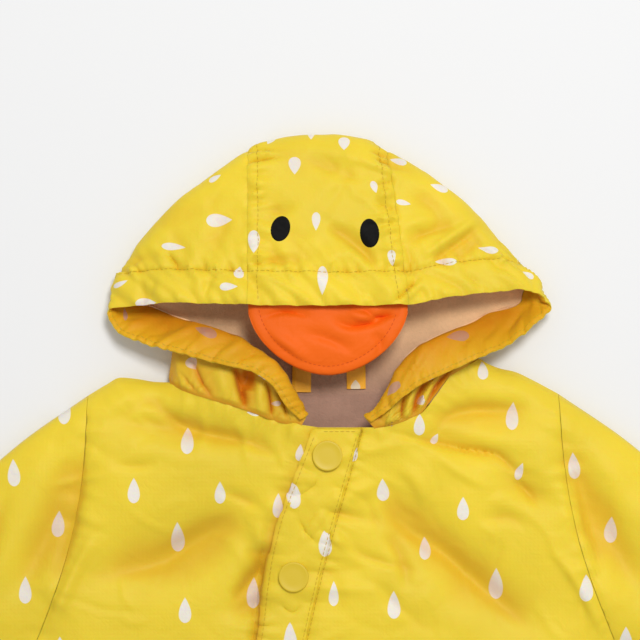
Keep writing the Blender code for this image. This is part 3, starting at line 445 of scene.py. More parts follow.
# Hood sections, as in the solids: front edge x, y, z; turn x, y, z; neck x, y; layer; shelf; fold;
# and, where the cloth doesn't run straight to the neck, the bend x, y
HOOD = [
    (-13.8, 4.2, 25.5, -9.8, 6.4, 22.6, -13, 1.9, 1, 25, 1),
    (-22.1, 12.4, 29, -14.8, 15.6, 24.4, -25, 4, 1, 28, 1),
    (-29.5, 23.4, 32, -21.4, 27, 26, -38, 8.8, 1, 30.5, 1),
    (-42, 31.2, 33.5, -35, 42, 26, -51, 13.2, 1, 30.5, 1),
    (-59.2, 35, 32, -52, 51, 23, -64, 17, 1, 28, 1),
    (-74, 39, 28.5, -68.5, 56.5, 17.5, -76.5, 20.8, 1, 22, 0.9),
    (-88.2, 42.3, 24, -81, 59.5, 12, -85.4, 25, 0.5, 14, 0.6),
    (-100.5, 45.8, 20, -89.5, 62.5, 5, -79, 23, 0, 6, 0.1, -76, 44),
    (-111.8, 50.3, 17, -99, 66, 4, -72, 21.6, 0, 5, 0.1, -72, 54),
    (-120.8, 62.4, 13, -112, 68, 5, -66, 20.2, 0, 7, 0.3, -72, 64),
    (-117.6, 65.2, 16.5, -117.8, 76, 8, -60, 19.4, 0, 14, 0.9, -72, 70),
    (-104, 66.8, 21.5, -103.6, 100, 8, -54, 19, 0, 15.5, 1, -74, 66),
    (-85, 68.2, 27, -84, 123, 8, -48, 18.8, 0, 16.5, 1),
    (-62, 67.7, 31, -61, 139.6, 8, -43, 18.5, 0, 17, 1),
    (-42.4, 67.1, 33.5, -42.4, 152, 8, -38, 18.4, 0, 17.5, 1),
    (-20, 66.8, 35.2, -20, 160, 8, -18, 18.2, 0, 18, 1),
    (1.7, 66.6, 36, 0, 161, 8, 1, 18.2, 0, 18, 1),
    (24, 66.9, 35.2, 19, 159.2, 8, 20, 18.2, 0, 18, 1),
    (45.7, 67.3, 33.5, 35, 152.4, 8, 40, 19, 0, 17.5, 1),
    (64.4, 70.8, 31, 58, 138.4, 8, 45.5, 19.8, 0, 17, 1),
    (86, 73.6, 27, 84, 117.4, 8, 51.5, 20.9, 0, 16.5, 1),
    (106, 74.8, 22, 105, 92, 8, 57.5, 22.4, 0, 15, 1, 76, 70),
    (118.5, 73, 17.5, 118, 79, 8, 63.5, 24.6, 0, 14, 0.9, 76, 74),
    (124.2, 65, 13.5, 114, 70, 5, 69.5, 28.2, 0, 7, 0.3, 76, 68),
    (114.4, 54.6, 17, 101, 64, 3.6, 75, 31.8, 0, 5, 0.1, 76, 58),
    (102.1, 45.9, 20.5, 91.5, 62, 4.8, 80.5, 35.6, 0, 6, 0.1, 79, 50),
    (89.5, 40.2, 24.5, 82.5, 57.5, 12, 84.4, 38.4, 0.5, 14, 0.6),
    (77.9, 35, 28.5, 71, 53.4, 18, 77, 34.2, 1, 23, 0.9),
    (66, 29.8, 31, 57.8, 47.6, 23, 69, 29.4, 1, 28, 1),
    (53, 23.8, 32.5, 44.6, 38.2, 25.5, 60.8, 19.4, 1, 30, 1),
    (41.6, 15.6, 31.5, 33.4, 21, 25.5, 51.4, 8.4, 1, 29.5, 1),
    (33.6, 8.6, 28.5, 27.6, 12.6, 24.2, 39, 3.4, 1, 27, 1),
    (25.6, 3, 25.5, 21.6, 5.6, 22.6, 27, 0.9, 1, 25, 1),
]
CHIN_LEFT, CORNER_LEFT = 6, 9  # section numbers where the hood changes its run
CORNER_RIGHT, CHIN_RIGHT = 23, 26
CENTRE_LEFT, CENTRE_RIGHT = 14, 18  # seams of the centre strip

# The raindrop print where the photograph shows it: x, y of a drop's middle, the way its tip
# points (degrees, 90 up), its width and its length
BODY_DROPS = [
    (-75.9, -7.7, 90, 7.4, 14.6), (-105.1, -34.7, 90, 7, 14.2), (-57.8, -35.8, 90, 6.2, 12.4),
    (-81.4, -60.5, 90, 7.8, 17.4), (-77, -100.7, 90, 7.2, 14.2), (-39.6, -91.9, 90, 8, 17.7),
    (-25.9, -42.9, 88, 6, 13.5), (-16.8, -36.1, 90, 7.6, 15.2), (0.4, -63.5, 90, 7.2, 14.7),
    (4.8, -91.7, 90, 5.9, 13.9), (-19.3, -115, 90, 7.6, 16), (16.8, -15.1, 72, 3.2, 8.4),
    (-13.8, -13.8, 84, 4.6, 9.6), (86.9, 30.8, 94, 6.2, 9.9), (103.4, 6.1, 86, 7.2, 16),
    (51.7, 1.7, 90, 6.4, 12), (60.5, -6.6, 60, 4, 7), (31.7, -34.4, 92, 7.2, 12.6),
    (75.9, -44.6, 90, 6.8, 13), (55, -67.1, 90, 6.6, 12.8), (37.9, -97.6, 90, 7.6, 15.6),
    (94.6, -86.4, 90, 8, 18.2), (107.3, -24.2, 70, 4.6, 10), (-39.6, 7.7, 170, 3.2, 7),
]
HOOD_DROPS = [
    (-16.7, 143.5, 270, 7.1, 9.9), (-4.9, 112.7, 270, 4.9, 10.4), (-38.9, 101.4, 270, 6.6, 13.2),
    (-60.3, 136.8, 30, 3, 7.6), (-57.9, 113.6, 2, 7.6, 14.7), (-83, 99, 356, 4.3, 13.7),
    (-112.3, 78.7, 25, 2.8, 8.5), (-47, 84.8, 80, 5.9, 7), (-52.3, 77, 0, 4.4, 9.9),
    (-98.1, 68.2, 2, 5.4, 12), (-1.3, 80.3, 270, 6, 16), (-30, 158.6, 240, 5.4, 7), (-7.7, 161.4, 270, 5, 7),
    (10.5, 155.6, 270, 6.4, 7.2), (40.3, 146.1, 167, 3.8, 9.5), (62.6, 131.6, 160, 4.2, 10.6),
    (27.1, 131.6, 290, 4, 7.4), (43.2, 123.1, 348, 3.2, 8.2), (36.5, 92.8, 272, 4.6, 9),
    (65.9, 90.5, 180, 4.2, 12.3), (89.5, 97.4, 172, 3.8, 11.3), (111.8, 83.4, 150, 3.4, 7),
]
FACING_DROPS = [(-65.5, 51.7, 160, 4.9, 13), (72.5, 49.3, 186, 5.4, 12.3), (38, 20.9, 228, 4.6, 10),
                (-110.9, 61.6, 100, 2.6, 7.8)]
CHIN_DROPS = [(-72.8, 34.6, 300, 7.1, 7.4), (-27, 13, 180, 3, 5), (53, 15, 60, 3.4, 6)]


@dataclass(frozen=True)
class DropPrint:
    """The print: where each drop sits, and the map that draws it.

    Every face of the cloth gets coordinates measured from its nearest drop, so the material draws
    one drop only and no drop is bent by a fold's plan.
    """

    across: float = 44.0  # repeat of the staggered rows
    down: float = 32.0
    full: Point2 = (7.4, 15.0)  # width and length of a drop
    unit: float = 5.0  # half drops to one unit of the map
    map_name: str = "print"

    def rows(self, low: Point2, high: Point2, tip: float, skip: Callable[[float, float], bool]) -> list[tuple]:
        """Staggered rows of drops over a box, for cloth that the photograph doesn't show.

        Args:
            low: Lower corner of the box.
            high: Upper corner.
            tip: The way the tips point, in degrees.
            skip: Says which places stay free.

        Returns:
            The drops.
        """
        found = []
        for row, y in enumerate(np.arange(low[1], high[1], self.down)):
            for x in np.arange(low[0] + (row % 2) * self.across / 2, high[0], self.across):
                shift = 4.0 * math.sin(1.7 * row + 0.045 * x)
                place = (float(x + shift), float(y + 3.0 * math.sin(0.11 * x + row)))
                if not skip(*place):
                    found.append((*place, tip + 5.0 * math.sin(0.7 * row + x), self.full[0], self.full[1]))
        return found

    def coordinates(self, corners: Array, drops: Sequence[tuple]) -> Array:
        """Print coordinates of face corners.

        Args:
            corners: Plan of the corners, faces by corners by 2.
            drops: The drops that may print here.

        Returns:
            The map's values, faces by corners by 2.
        """
        table = np.array(drops, float)
        middle = corners.mean(axis=1)
        best = np.zeros(len(middle), int)
        nearest = np.full(len(middle), FAR)
        for index, (x, y) in enumerate(table[:, :2]):
            distance = np.hypot(middle[:, 0] - x, middle[:, 1] - y)
            nearer = distance < nearest
            nearest = np.where(nearer, distance, nearest)
            best = np.where(nearer, index, best)
        chosen = table[best]
        offset = corners - chosen[:, None, :2]
        turn = np.radians(90.0 - chosen[:, 2])
        cos, sin = np.cos(turn)[:, None], np.sin(turn)[:, None]
        x = (offset[..., 0] * cos - offset[..., 1] * sin) / (chosen[:, 3][:, None] / 2)
        y = (offset[..., 0] * sin + offset[..., 1] * cos) / (chosen[:, 4][:, None] / 2)
        return np.stack([x, y], axis=-1) / self.unit + 0.5


# ---------------------------------------------------------------------------
# Cloth sheets
# ---------------------------------------------------------------------------


class ClothSheet:
    """The mid-surface of some cloth: welded grids, with a panel name and a plan for each face."""

    def __init__(self) -> None:
        """Starts with no grid."""
        self.points = np.zeros((0, 3))
        self.faces = np.zeros((0, 4), int)
        self.panel = np.zeros(0, dtype=object)
        self.flat = np.zeros((0, 4, 2))
        self.painted_shade = np.zeros(0)
        self.column = np.zeros(0, int)

    def add_grid(self, grid: Array, panel: Array | str, turned: bool = False, painted_shade: Array | None = None) -> None:
        """Adds a grid of points.

        Args:
            grid: Rows by columns by 3.
            panel: The faces' panel name, or one name for each face.
            turned: Whether the faces point the other way.
            painted_shade: How much painted fold shade the points get, 0 to 1, or None where they get none.
        """
        rows, columns = grid.shape[:2]
        base = len(self.points)
        number = base + np.arange(rows * columns).reshape(rows, columns)
        corners = [number[:-1, :-1], number[1:, :-1], number[1:, 1:], number[:-1, 1:]]
        plan = grid[..., :2]
        plans = [plan[:-1, :-1], plan[1:, :-1], plan[1:, 1:], plan[:-1, 1:]]
        if turned:
            corners.reverse()
            plans.reverse()
        faces = np.stack(corners, axis=-1).reshape(-1, 4)
        self.points = np.vstack([self.points, grid.reshape(-1, 3)])
        self.painted_shade = np.concatenate([self.painted_shade, np.zeros(rows * columns) if painted_shade is None else painted_shade.reshape(-1)])
        self.faces = np.vstack([self.faces, faces])
        names = np.full((rows - 1, columns - 1), panel, dtype=object) if isinstance(panel, str) else panel
        self.panel = np.concatenate([self.panel, names.reshape(-1)])
        self.flat = np.concatenate([self.flat, np.stack(plans, axis=-2).reshape(-1, 4, 2)])
        self.column = np.concatenate([self.column, np.tile(np.arange(columns - 1), rows - 1)])

    def weld(self) -> None:
        """Joins points that lie in the same place."""
        keys = np.round(self.points * 1000.0).astype(np.int64)
        _, first, inverse = np.unique(keys, axis=0, return_index=True, return_inverse=True)
        self.points = self.points[first]
        self.painted_shade = self.painted_shade[first]
        self.faces = inverse.reshape(-1)[self.faces]

    def normals(self) -> Array:
        """Unit normals at the points, from all the faces around them."""
        corners = self.points[self.faces]
        across = np.cross(corners[:, 2] - corners[:, 0], corners[:, 3] - corners[:, 1])
        total = np.zeros_like(self.points)
        for corner in range(4):
            np.add.at(total, self.faces[:, corner], across)
        size = np.linalg.norm(total, axis=1)
        return total / np.maximum(size, 1e-12)[:, None]

    def area(self, chosen: Array) -> float:
        """Area of some faces, in square metres."""
        corners = self.points[self.faces[chosen]]
        across = np.cross(corners[:, 2] - corners[:, 0], corners[:, 3] - corners[:, 1])
        return float(np.linalg.norm(across, axis=1).sum() / 2.0 * MM * MM)


@dataclass
class Wall:
    """A closed thin wall on some faces of a sheet, from inner to outer out of the sheet."""

    sheet: ClothSheet
    chosen: Array
    outer: float | Array
    inner: float | Array
    gap: float = 0.15

    def border(self) -> tuple[Array, Array, Array]:
        """Border edges of the chosen faces: their face, start and end points."""
        faces = self.sheet.faces[self.chosen]
        starts, ends = faces.reshape(-1), np.roll(faces, -1, axis=1).reshape(-1)
        count = len(self.sheet.points)
        codes, back = starts * count + ends, ends * count + starts
        lone = ~np.isin(codes, back)
        owner = np.repeat(np.arange(len(faces)), 4)
        corner = np.tile(np.arange(4), len(faces))
        return np.stack([owner[lone], corner[lone]], axis=1), starts[lone], ends[lone]

    def drawn_in(self, starts: Array, ends: Array) -> Array:
        """The sheet's points with the border moved by the gap into the panel."""
        points = self.sheet.points
        faces = self.sheet.faces[self.chosen]
        along = np.zeros_like(points)
        run = points[ends] - points[starts]
        np.add.at(along, starts, run)
        np.add.at(along, ends, run)
        way = np.zeros_like(points)
        middle = points[faces].mean(axis=1)
        for corner in range(4):
            np.add.at(way, faces[:, corner], middle - points[faces[:, corner]])
        rim = np.unique(np.concatenate([starts, ends]))
        size = np.maximum((along[rim] ** 2).sum(axis=1), 1e-12)
        way = way[rim] - along[rim] * ((way[rim] * along[rim]).sum(axis=1) / size)[:, None]
        way /= np.maximum(np.linalg.norm(way, axis=1), 1e-9)[:, None]
        moved = points.copy()
        moved[rim] += way * self.gap
        return moved

    def build(self, name: str, uv: Array | None = None, map_name: str = "print") -> bpy.types.Object:
        """Makes the wall's mesh object.

        Args:
            name: The object's name.
            uv: Map values for the chosen faces' corners, or None.
            map_name: The map's name.

        Returns:
            The object, with its place in its mesh.
        """
        faces = self.sheet.faces[self.chosen]
        lone, starts, ends = self.border()
        points = self.drawn_in(starts, ends)
        normals = self.sheet.normals()
        used = np.unique(faces)
        rank = np.full(len(points), -1)
        rank[used] = np.arange(len(used))
        outer = np.broadcast_to(np.asarray(self.outer, float), (len(points),))[used, None]
        inner = np.broadcast_to(np.asarray(self.inner, float), (len(points),))[used, None]
        vertices = np.vstack([points[used] + normals[used] * outer, points[used] + normals[used] * inner])
        count = len(used)
        skin = rank[faces]
        under = skin[:, ::-1] + count
        a, b = rank[starts], rank[ends]
        rim = np.stack([b, a, a + count, b + count], axis=1)
        solid = np.vstack([skin, under, rim])
        item = mesh_object(name, vertices, solid)
        # painted shade: each point's painted fold shade amount, kept as the 'depth' attribute for the cloth's
        # material
        depth = item.data.attributes.new("depth", "FLOAT", "POINT")
        depth.data.foreach_set("value", np.tile(self.sheet.painted_shade[used], 2).astype(np.float32))
        if uv is not None:
            first = uv[lone[:, 0], lone[:, 1]]
            second = uv[lone[:, 0], (lone[:, 1] + 1) % 4]
            rim_uv = np.stack([second, first, first, second], axis=1)
            layer = item.data.uv_layers.new(name=map_name)
            values = np.vstack([uv.reshape(-1, 2), uv[:, ::-1].reshape(-1, 2), rim_uv.reshape(-1, 2)])
            layer.data.foreach_set("uv", values.astype(np.float32).reshape(-1))
        return item


def linked(item: bpy.types.Object) -> bpy.types.Object:
    """Puts an object into the scene."""
    bpy.context.scene.collection.objects.link(item)
    return item


def mesh_object(name: str, vertices: Array, faces: Array | list, sharp: float = 62.0) -> bpy.types.Object:
    """A smooth mesh object from millimetre points."""
    mesh = bpy.data.meshes.new(name)
    corners = faces if isinstance(faces, list) else faces.tolist()
    mesh.from_pydata((np.asarray(vertices, float) * MM).tolist(), [], corners)
    mesh.shade_smooth()
    mesh.set_sharp_from_angle(angle=math.radians(sharp))
    mesh.update()
    return linked(bpy.data.objects.new(name, mesh))


def lifted(plan: Array, height: Callable[[Array], Array]) -> Array:
    """A plan grid with its heights."""
    flat = plan.reshape(-1, 2)
    return np.concatenate([plan, height(flat).reshape(plan.shape[:2] + (1,))], axis=2)


def spread(left: Array, right: Array, shares: Array) -> Array:
    """Grid rows from the left ends to the right ends."""
    return left[:, None, :] + (right - left)[:, None, :] * shares[None, :, None]


def clustered(count: int, left: bool, right: bool) -> Array:
    """Shares from 0 to 1, closer together at an end that rounds over."""
    even = np.linspace(0.0, 1.0, count + 1)
    eased = even
    if left:
        eased = 1.0 - np.cos(even * math.pi / 2)
    if right:
        eased = np.sin(even * math.pi / 2)
    return 0.55 * even + 0.45 * eased


# ---------------------------------------------------------------------------
# Materials
# ---------------------------------------------------------------------------


def linear(colour: str) -> tuple[float, float, float, float]:
    """An sRGB hex colour as linear values with alpha."""
    parts = [int(colour[place : place + 2], 16) / 255.0 for place in (1, 3, 5)]
    return (*(c / 12.92 if c <= 0.04045 else ((c + 0.055) / 1.055) ** 2.4 for c in parts), 1.0)


def add_node(tree: bpy.types.NodeTree, kind: str, settings: dict | None = None, **sockets: object) -> bpy.types.Node:
    """Adds a node with its settings; a socket is given a value, or another node's output to follow."""
    made = tree.nodes.new(kind)
    for key, value in (settings or {}).items():
        setattr(made, key, value)
    for key, value in sockets.items():
        place = int(key[1:]) if key[0] == "i" and key[1:].isdigit() else key.replace("_", " ")
        if isinstance(value, bpy.types.NodeSocket):
            tree.links.new(value, made.inputs[place])
        else:
            made.inputs[place].default_value = value
    return made


def maths(tree: bpy.types.NodeTree, operation: str, *values: object, clamp: bool = False) -> bpy.types.NodeSocket:
    """A math node's output."""
    sockets = {f"i{place}": value for place, value in enumerate(values)}
    return add_node(tree, "ShaderNodeMath", {"operation": operation, "use_clamp": clamp}, **sockets).outputs[0]


@dataclass(frozen=True)
class Finish:
    """What a plain finish is: its shader's even values."""

    name: str
    colour: str
    roughness: float
    ior: float = 1.5
    sheen: float = 0.0
    sheen_roughness: float = 0.4
    specular: float = 0.5
    through: float = 0.0  # share of light that goes into the cloth
    through_reach: float = 1.3

    def glow(self, shader: bpy.types.Node) -> None:
        """Lets light through thin cloth, warmer the deeper it goes."""
        shader.inputs["Subsurface Weight"].default_value = self.through
        shader.inputs["Subsurface Radius"].default_value = (1.0, 0.45, 0.06)
        shader.inputs["Subsurface Scale"].default_value = self.through_reach * MM

    def start(self) -> tuple[bpy.types.Material, bpy.types.NodeTree, bpy.types.Node]:
        """Makes the material with its Principled shader.

        Returns:
            The material, its node tree and the shader.
        """
        made = bpy.data.materials.new(self.name)
        made.use_nodes = True
        made.diffuse_color = linear(self.colour)
        tree = made.node_tree
        shader = tree.nodes["Principled BSDF"]
        even = {
            "Base Color": linear(self.colour), "Roughness": self.roughness, "IOR": self.ior,
            "Specular IOR Level": self.specular, "Sheen Weight": self.sheen, "Sheen Roughness": self.sheen_roughness,
        }
        for socket, value in even.items():
            shader.inputs[socket].default_value = value
        if self.through:
            self.glow(shader)
        return made, tree, shader


@dataclass(frozen=True)
class WovenFinish(Finish):
    """Plain-woven coated cloth: fine crossing threads, crinkles, slightly uneven dye and painted shade in deep folds.
    """

    thread: float = 1.1  # the real 0.3 mm thread is below the render's pixel, so it is drawn coarser
    thread_bump: float = 0.025
    crinkle: float = 12.0  # size of the small crinkles
    crinkle_bump: float = 0.5
    uneven: float = 0.06
    drop_colour: str = ""
    fold_shade_colour: str = "#e59a52"  # painted shade: the warm darkening laid into deep folds, standing in for fold shade and light bounced between the cloth's own faces
    unit: float = 5.0  # half drops to one unit of the print map
    drop_width: float = 2.6
    drop_edge: float = 9.0  # how crisp the printed edge is
    dye_patch: float = 55.0  # size of the dye's uneven patches

    def drop_mask(self, tree: bpy.types.NodeTree) -> bpy.types.NodeSocket:
        """Draws one drop round the middle of the print map: round below, pointed above.

        Args:
            tree: The material's nodes.

        Returns:
            1 inside the drop, 0 outside.
        """
        print_map = add_node(tree, "ShaderNodeUVMap", {"uv_map": "print"})
        parts = add_node(tree, "ShaderNodeSeparateXYZ", Vector=print_map.outputs[0])
        aside = maths(tree, "ABSOLUTE", maths(tree, "SUBTRACT", parts.outputs["X"], 0.5))
        aside = maths(tree, "MULTIPLY", aside, self.unit)
        up = maths(tree, "SUBTRACT", parts.outputs["Y"], 0.5)
        up = maths(tree, "MULTIPLY_ADD", up, self.unit / 2.0, 0.5, clamp=True)
        low = maths(tree, "POWER", up, 0.5)
        high = maths(tree, "POWER", maths(tree, "SUBTRACT", 1.0, up), 1.0)
        wide = maths(tree, "MULTIPLY", maths(tree, "MULTIPLY", low, high), self.drop_width)
        return maths(tree, "MULTIPLY", maths(tree, "SUBTRACT", wide, aside), self.drop_edge, clamp=True)

    def make(self) -> bpy.types.Material:
        """Makes the material."""
        made, tree, shader = self.start()
        place = add_node(tree, "ShaderNodeTexCoord")
        dye = add_node(tree, "ShaderNodeTexNoise", {"noise_dimensions": "3D"}, Vector=place.outputs["Object"],
                       Scale=1.0 / (self.dye_patch * MM), Detail=3.0, Roughness=0.5)
        shade = add_node(tree, "ShaderNodeMapRange", Value=dye.outputs["Fac"], From_Min=0.3, From_Max=0.7,
                         To_Min=1.0 - self.uneven, To_Max=1.0 + self.uneven)
        base = add_node(tree, "ShaderNodeRGB")
        base.outputs[0].default_value = linear(self.colour)
        colour = base.outputs[0]
        if self.drop_colour:
            mix = add_node(tree, "ShaderNodeMix", {"data_type": "RGBA"})
            tree.links.new(self.drop_mask(tree), mix.inputs[0])
            tree.links.new(colour, mix.inputs[6])
            mix.inputs[7].default_value = linear(self.drop_colour)
            colour = mix.outputs[2]
        # painted shade: the 'depth' attribute mixes the colour towards the fold shade colour, darker and warmer in
        # folds and pockets
        depth = add_node(tree, "ShaderNodeAttribute", {"attribute_name": "depth"})
        fold_shade_mix = add_node(tree, "ShaderNodeMix", {"data_type": "RGBA"})
        tree.links.new(depth.outputs["Fac"], fold_shade_mix.inputs[0])
        fold_shade_mix.inputs[6].default_value = (1.0, 1.0, 1.0, 1.0)
        fold_shade_mix.inputs[7].default_value = linear(self.fold_shade_colour)
        fold_shaded = add_node(tree, "ShaderNodeVectorMath", {"operation": "MULTIPLY"}, i0=colour, i1=fold_shade_mix.outputs[2])
        tint = add_node(tree, "ShaderNodeVectorMath", {"operation": "SCALE"}, i0=fold_shaded.outputs[0],
                        Scale=shade.outputs[0])
        tree.links.new(tint.outputs[0], shader.inputs["Base Color"])

        bands = 1.0 / (self.thread * MM) / 20.0 * math.pi
        threads = [
            add_node(tree, "ShaderNodeTexWave", {"wave_type": "BANDS", "bands_direction": axis},
                     Vector=place.outputs["Object"], Scale=bands, Distortion=0.6, Detail=1.0, Detail_Scale=2.0)
            for axis in ("X", "Y")
        ]
        weave = maths(tree, "MULTIPLY", threads[0].outputs["Fac"], threads[1].outputs["Fac"])
        fine = add_node(tree, "ShaderNodeBump", Strength=1.0, Distance=self.thread_bump * MM, Height=weave)
        crinkles = add_node(tree, "ShaderNodeTexNoise", {"noise_dimensions": "3D"}, Vector=place.outputs["Object"],
                            Scale=1.0 / (self.crinkle * MM), Detail=2.5, Roughness=0.45, Distortion=0.8)
        coarse = add_node(tree, "ShaderNodeBump", Strength=1.0, Distance=self.crinkle_bump * MM,
                          Height=crinkles.outputs["Fac"], Normal=fine.outputs[0])
        tree.links.new(coarse.outputs[0], shader.inputs["Normal"])
        return made


@dataclass(frozen=True)
class FleeceFinish(Finish):
    """Brushed knit lining: a short soft nap in small tufts, with painted shade that darkens it low in the hood."""

    tuft: float = 1.6
    tuft_bump: float = 0.5
    patch: float = 12.0  # size of the nap's lighter and darker patches
    shade_colour: str = "#b08a76"  # painted shade and light: darker low in the hood, lighter higher up where light comes through the brim
    shade_from: float = 16.0
    shade_to: float = 62.0

    def make(self) -> bpy.types.Material:
        """Makes the material."""
        made, tree, shader = self.start()
        place = add_node(tree, "ShaderNodeTexCoord")
        nap = add_node(tree, "ShaderNodeTexNoise", Vector=place.outputs["Object"], Scale=1.0 / (self.tuft * MM),
                       Detail=4.0, Roughness=0.7)
        patches = add_node(tree, "ShaderNodeTexNoise", Vector=place.outputs["Object"],
                           Scale=1.0 / (self.patch * MM), Detail=2.0)
        mixed = maths(tree, "MULTIPLY_ADD", nap.outputs["Fac"], 0.6, patches.outputs["Fac"])
        shade = add_node(tree, "ShaderNodeMapRange", Value=mixed, From_Min=0.5, From_Max=1.1,
                         To_Min=0.86, To_Max=1.08)
        # painted shade and light: the colour runs from the shade colour low down to the lit colour higher up
        parts = add_node(tree, "ShaderNodeSeparateXYZ", Vector=place.outputs["Object"])
        up = add_node(tree, "ShaderNodeMapRange", Value=parts.outputs["Y"], From_Min=self.shade_from * MM,
                      From_Max=self.shade_to * MM, To_Min=0.0, To_Max=1.0)
        base = add_node(tree, "ShaderNodeMix", {"data_type": "RGBA"})
        tree.links.new(up.outputs[0], base.inputs[0])
        base.inputs[6].default_value = linear(self.shade_colour)
        base.inputs[7].default_value = linear(self.colour)
        tint = add_node(tree, "ShaderNodeVectorMath", {"operation": "SCALE"}, i0=base.outputs[2],
                        Scale=shade.outputs[0])
        tree.links.new(tint.outputs[0], shader.inputs["Base Color"])
        bump = add_node(tree, "ShaderNodeBump", Strength=1.0, Distance=self.tuft_bump * MM, Height=nap.outputs["Fac"])
        tree.links.new(bump.outputs[0], shader.inputs["Normal"])
        return made


@dataclass(frozen=True)
class MouldedFinish(Finish):
    """Moulded plastic or pressed patch: nearly even, with a fine grain."""

    grain: float = 0.5
    grain_bump: float = 0.02

    def make(self) -> bpy.types.Material:
        """Makes the material."""
        made, tree, shader = self.start()
        place = add_node(tree, "ShaderNodeTexCoord")
        noise = add_node(tree, "ShaderNodeTexNoise", Vector=place.outputs["Object"], Scale=1.0 / (self.grain * MM),
                         Detail=2.0)
        rough = add_node(tree, "ShaderNodeMapRange", Value=noise.outputs["Fac"], From_Min=0.3, From_Max=0.7,
                         To_Min=self.roughness - 0.06, To_Max=self.roughness + 0.06)
        tree.links.new(rough.outputs[0], shader.inputs["Roughness"])
        bump = add_node(tree, "ShaderNodeBump", Strength=1.0, Distance=self.grain_bump * MM,
                        Height=noise.outputs["Fac"])
        tree.links.new(bump.outputs[0], shader.inputs["Normal"])
        return made


# Coated polyester, plain woven and printed: a soft sheen with crisp small crinkles
SHELL_CLOTH = WovenFinish("coated_polyester", "#e2c631", 0.56, sheen=0.06, drop_colour="#e2dbcf", specular=0.24,
                          through=0.22)
# Painted shade: a darker, warmer copy of the same cloth for the hem facing inside the hood, standing in for the shade
# there and the light that comes through the cloth
FACING_CLOTH = WovenFinish("coated_polyester_facing_painted_shade", "#dca61a", 0.55, sheen=0.04, drop_colour="#c49c80",
                           specular=0.18, through=0.35)
# Painted light: a brighter, more orange copy of the same cloth for the loop, which lies in the bill's shade
LOOP_CLOTH = WovenFinish("coated_polyester_loop_painted_light", "#ffb418", 0.55, sheen=0.04, drop_colour="#f0dcb8")
# Brushed polyester knit: no gloss, a nap that lightens at the edges
FLEECE = FleeceFinish("brushed_fleece", "#f8cc9a", 0.95, sheen=0.15, specular=0.1)
# Acetal press-stud caps: matte moulded plastic, a shade greener than the cloth
CAP_PLASTIC = MouldedFinish("acetal_cap", "#d2b41e", 0.42, ior=1.48)
# Satin-backed polyester: stronger orange with a closer weave
BILL_CLOTH = WovenFinish("orange_poplin", "#e86208", 0.6, sheen=0.03, crinkle=10.0, crinkle_bump=0.7, specular=0.2)
# Heat-pressed flock ovals: near black, low gloss
EYE_PATCH = MouldedFinish("flock_patch", "#0d0c0c", 0.7, grain=0.9, grain_bump=0.05, specular=0.12)
# Spun polyester thread
THREAD = MouldedFinish("yellow_thread", "#c4a226", 0.7, grain=0.4, specular=0.2)
BILL_THREAD = MouldedFinish("orange_thread", "#c94f12", 0.7, grain=0.4, specular=0.2)


class Wardrobe:
    """Makes each finish once and dresses pieces with it."""

    def __init__(self) -> None:
        """Starts empty."""
        self.made: dict[str, bpy.types.Material] = {}

    def dress(self, item: bpy.types.Object, finish: Finish, slot: Slot, *nodes: str) -> bpy.types.Object:
        """Gives a piece its material and its body.

        Args:
            item: The piece.
            finish: Its finish.
            slot: The record's slot; not used.
            *nodes: The CAD nodes that the piece stands for.

        Returns:
            The piece.
        """
        if finish.name not in self.made:
            self.made[finish.name] = finish.make()
        item.data.materials.clear()
        item.data.materials.append(self.made[finish.name])
        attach(item, "root")
        if nodes:
            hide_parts(*nodes)
        LOG.info("%s: %d faces", item.name, len(item.data.polygons))
        return item


# ---------------------------------------------------------------------------
# The body
# ---------------------------------------------------------------------------


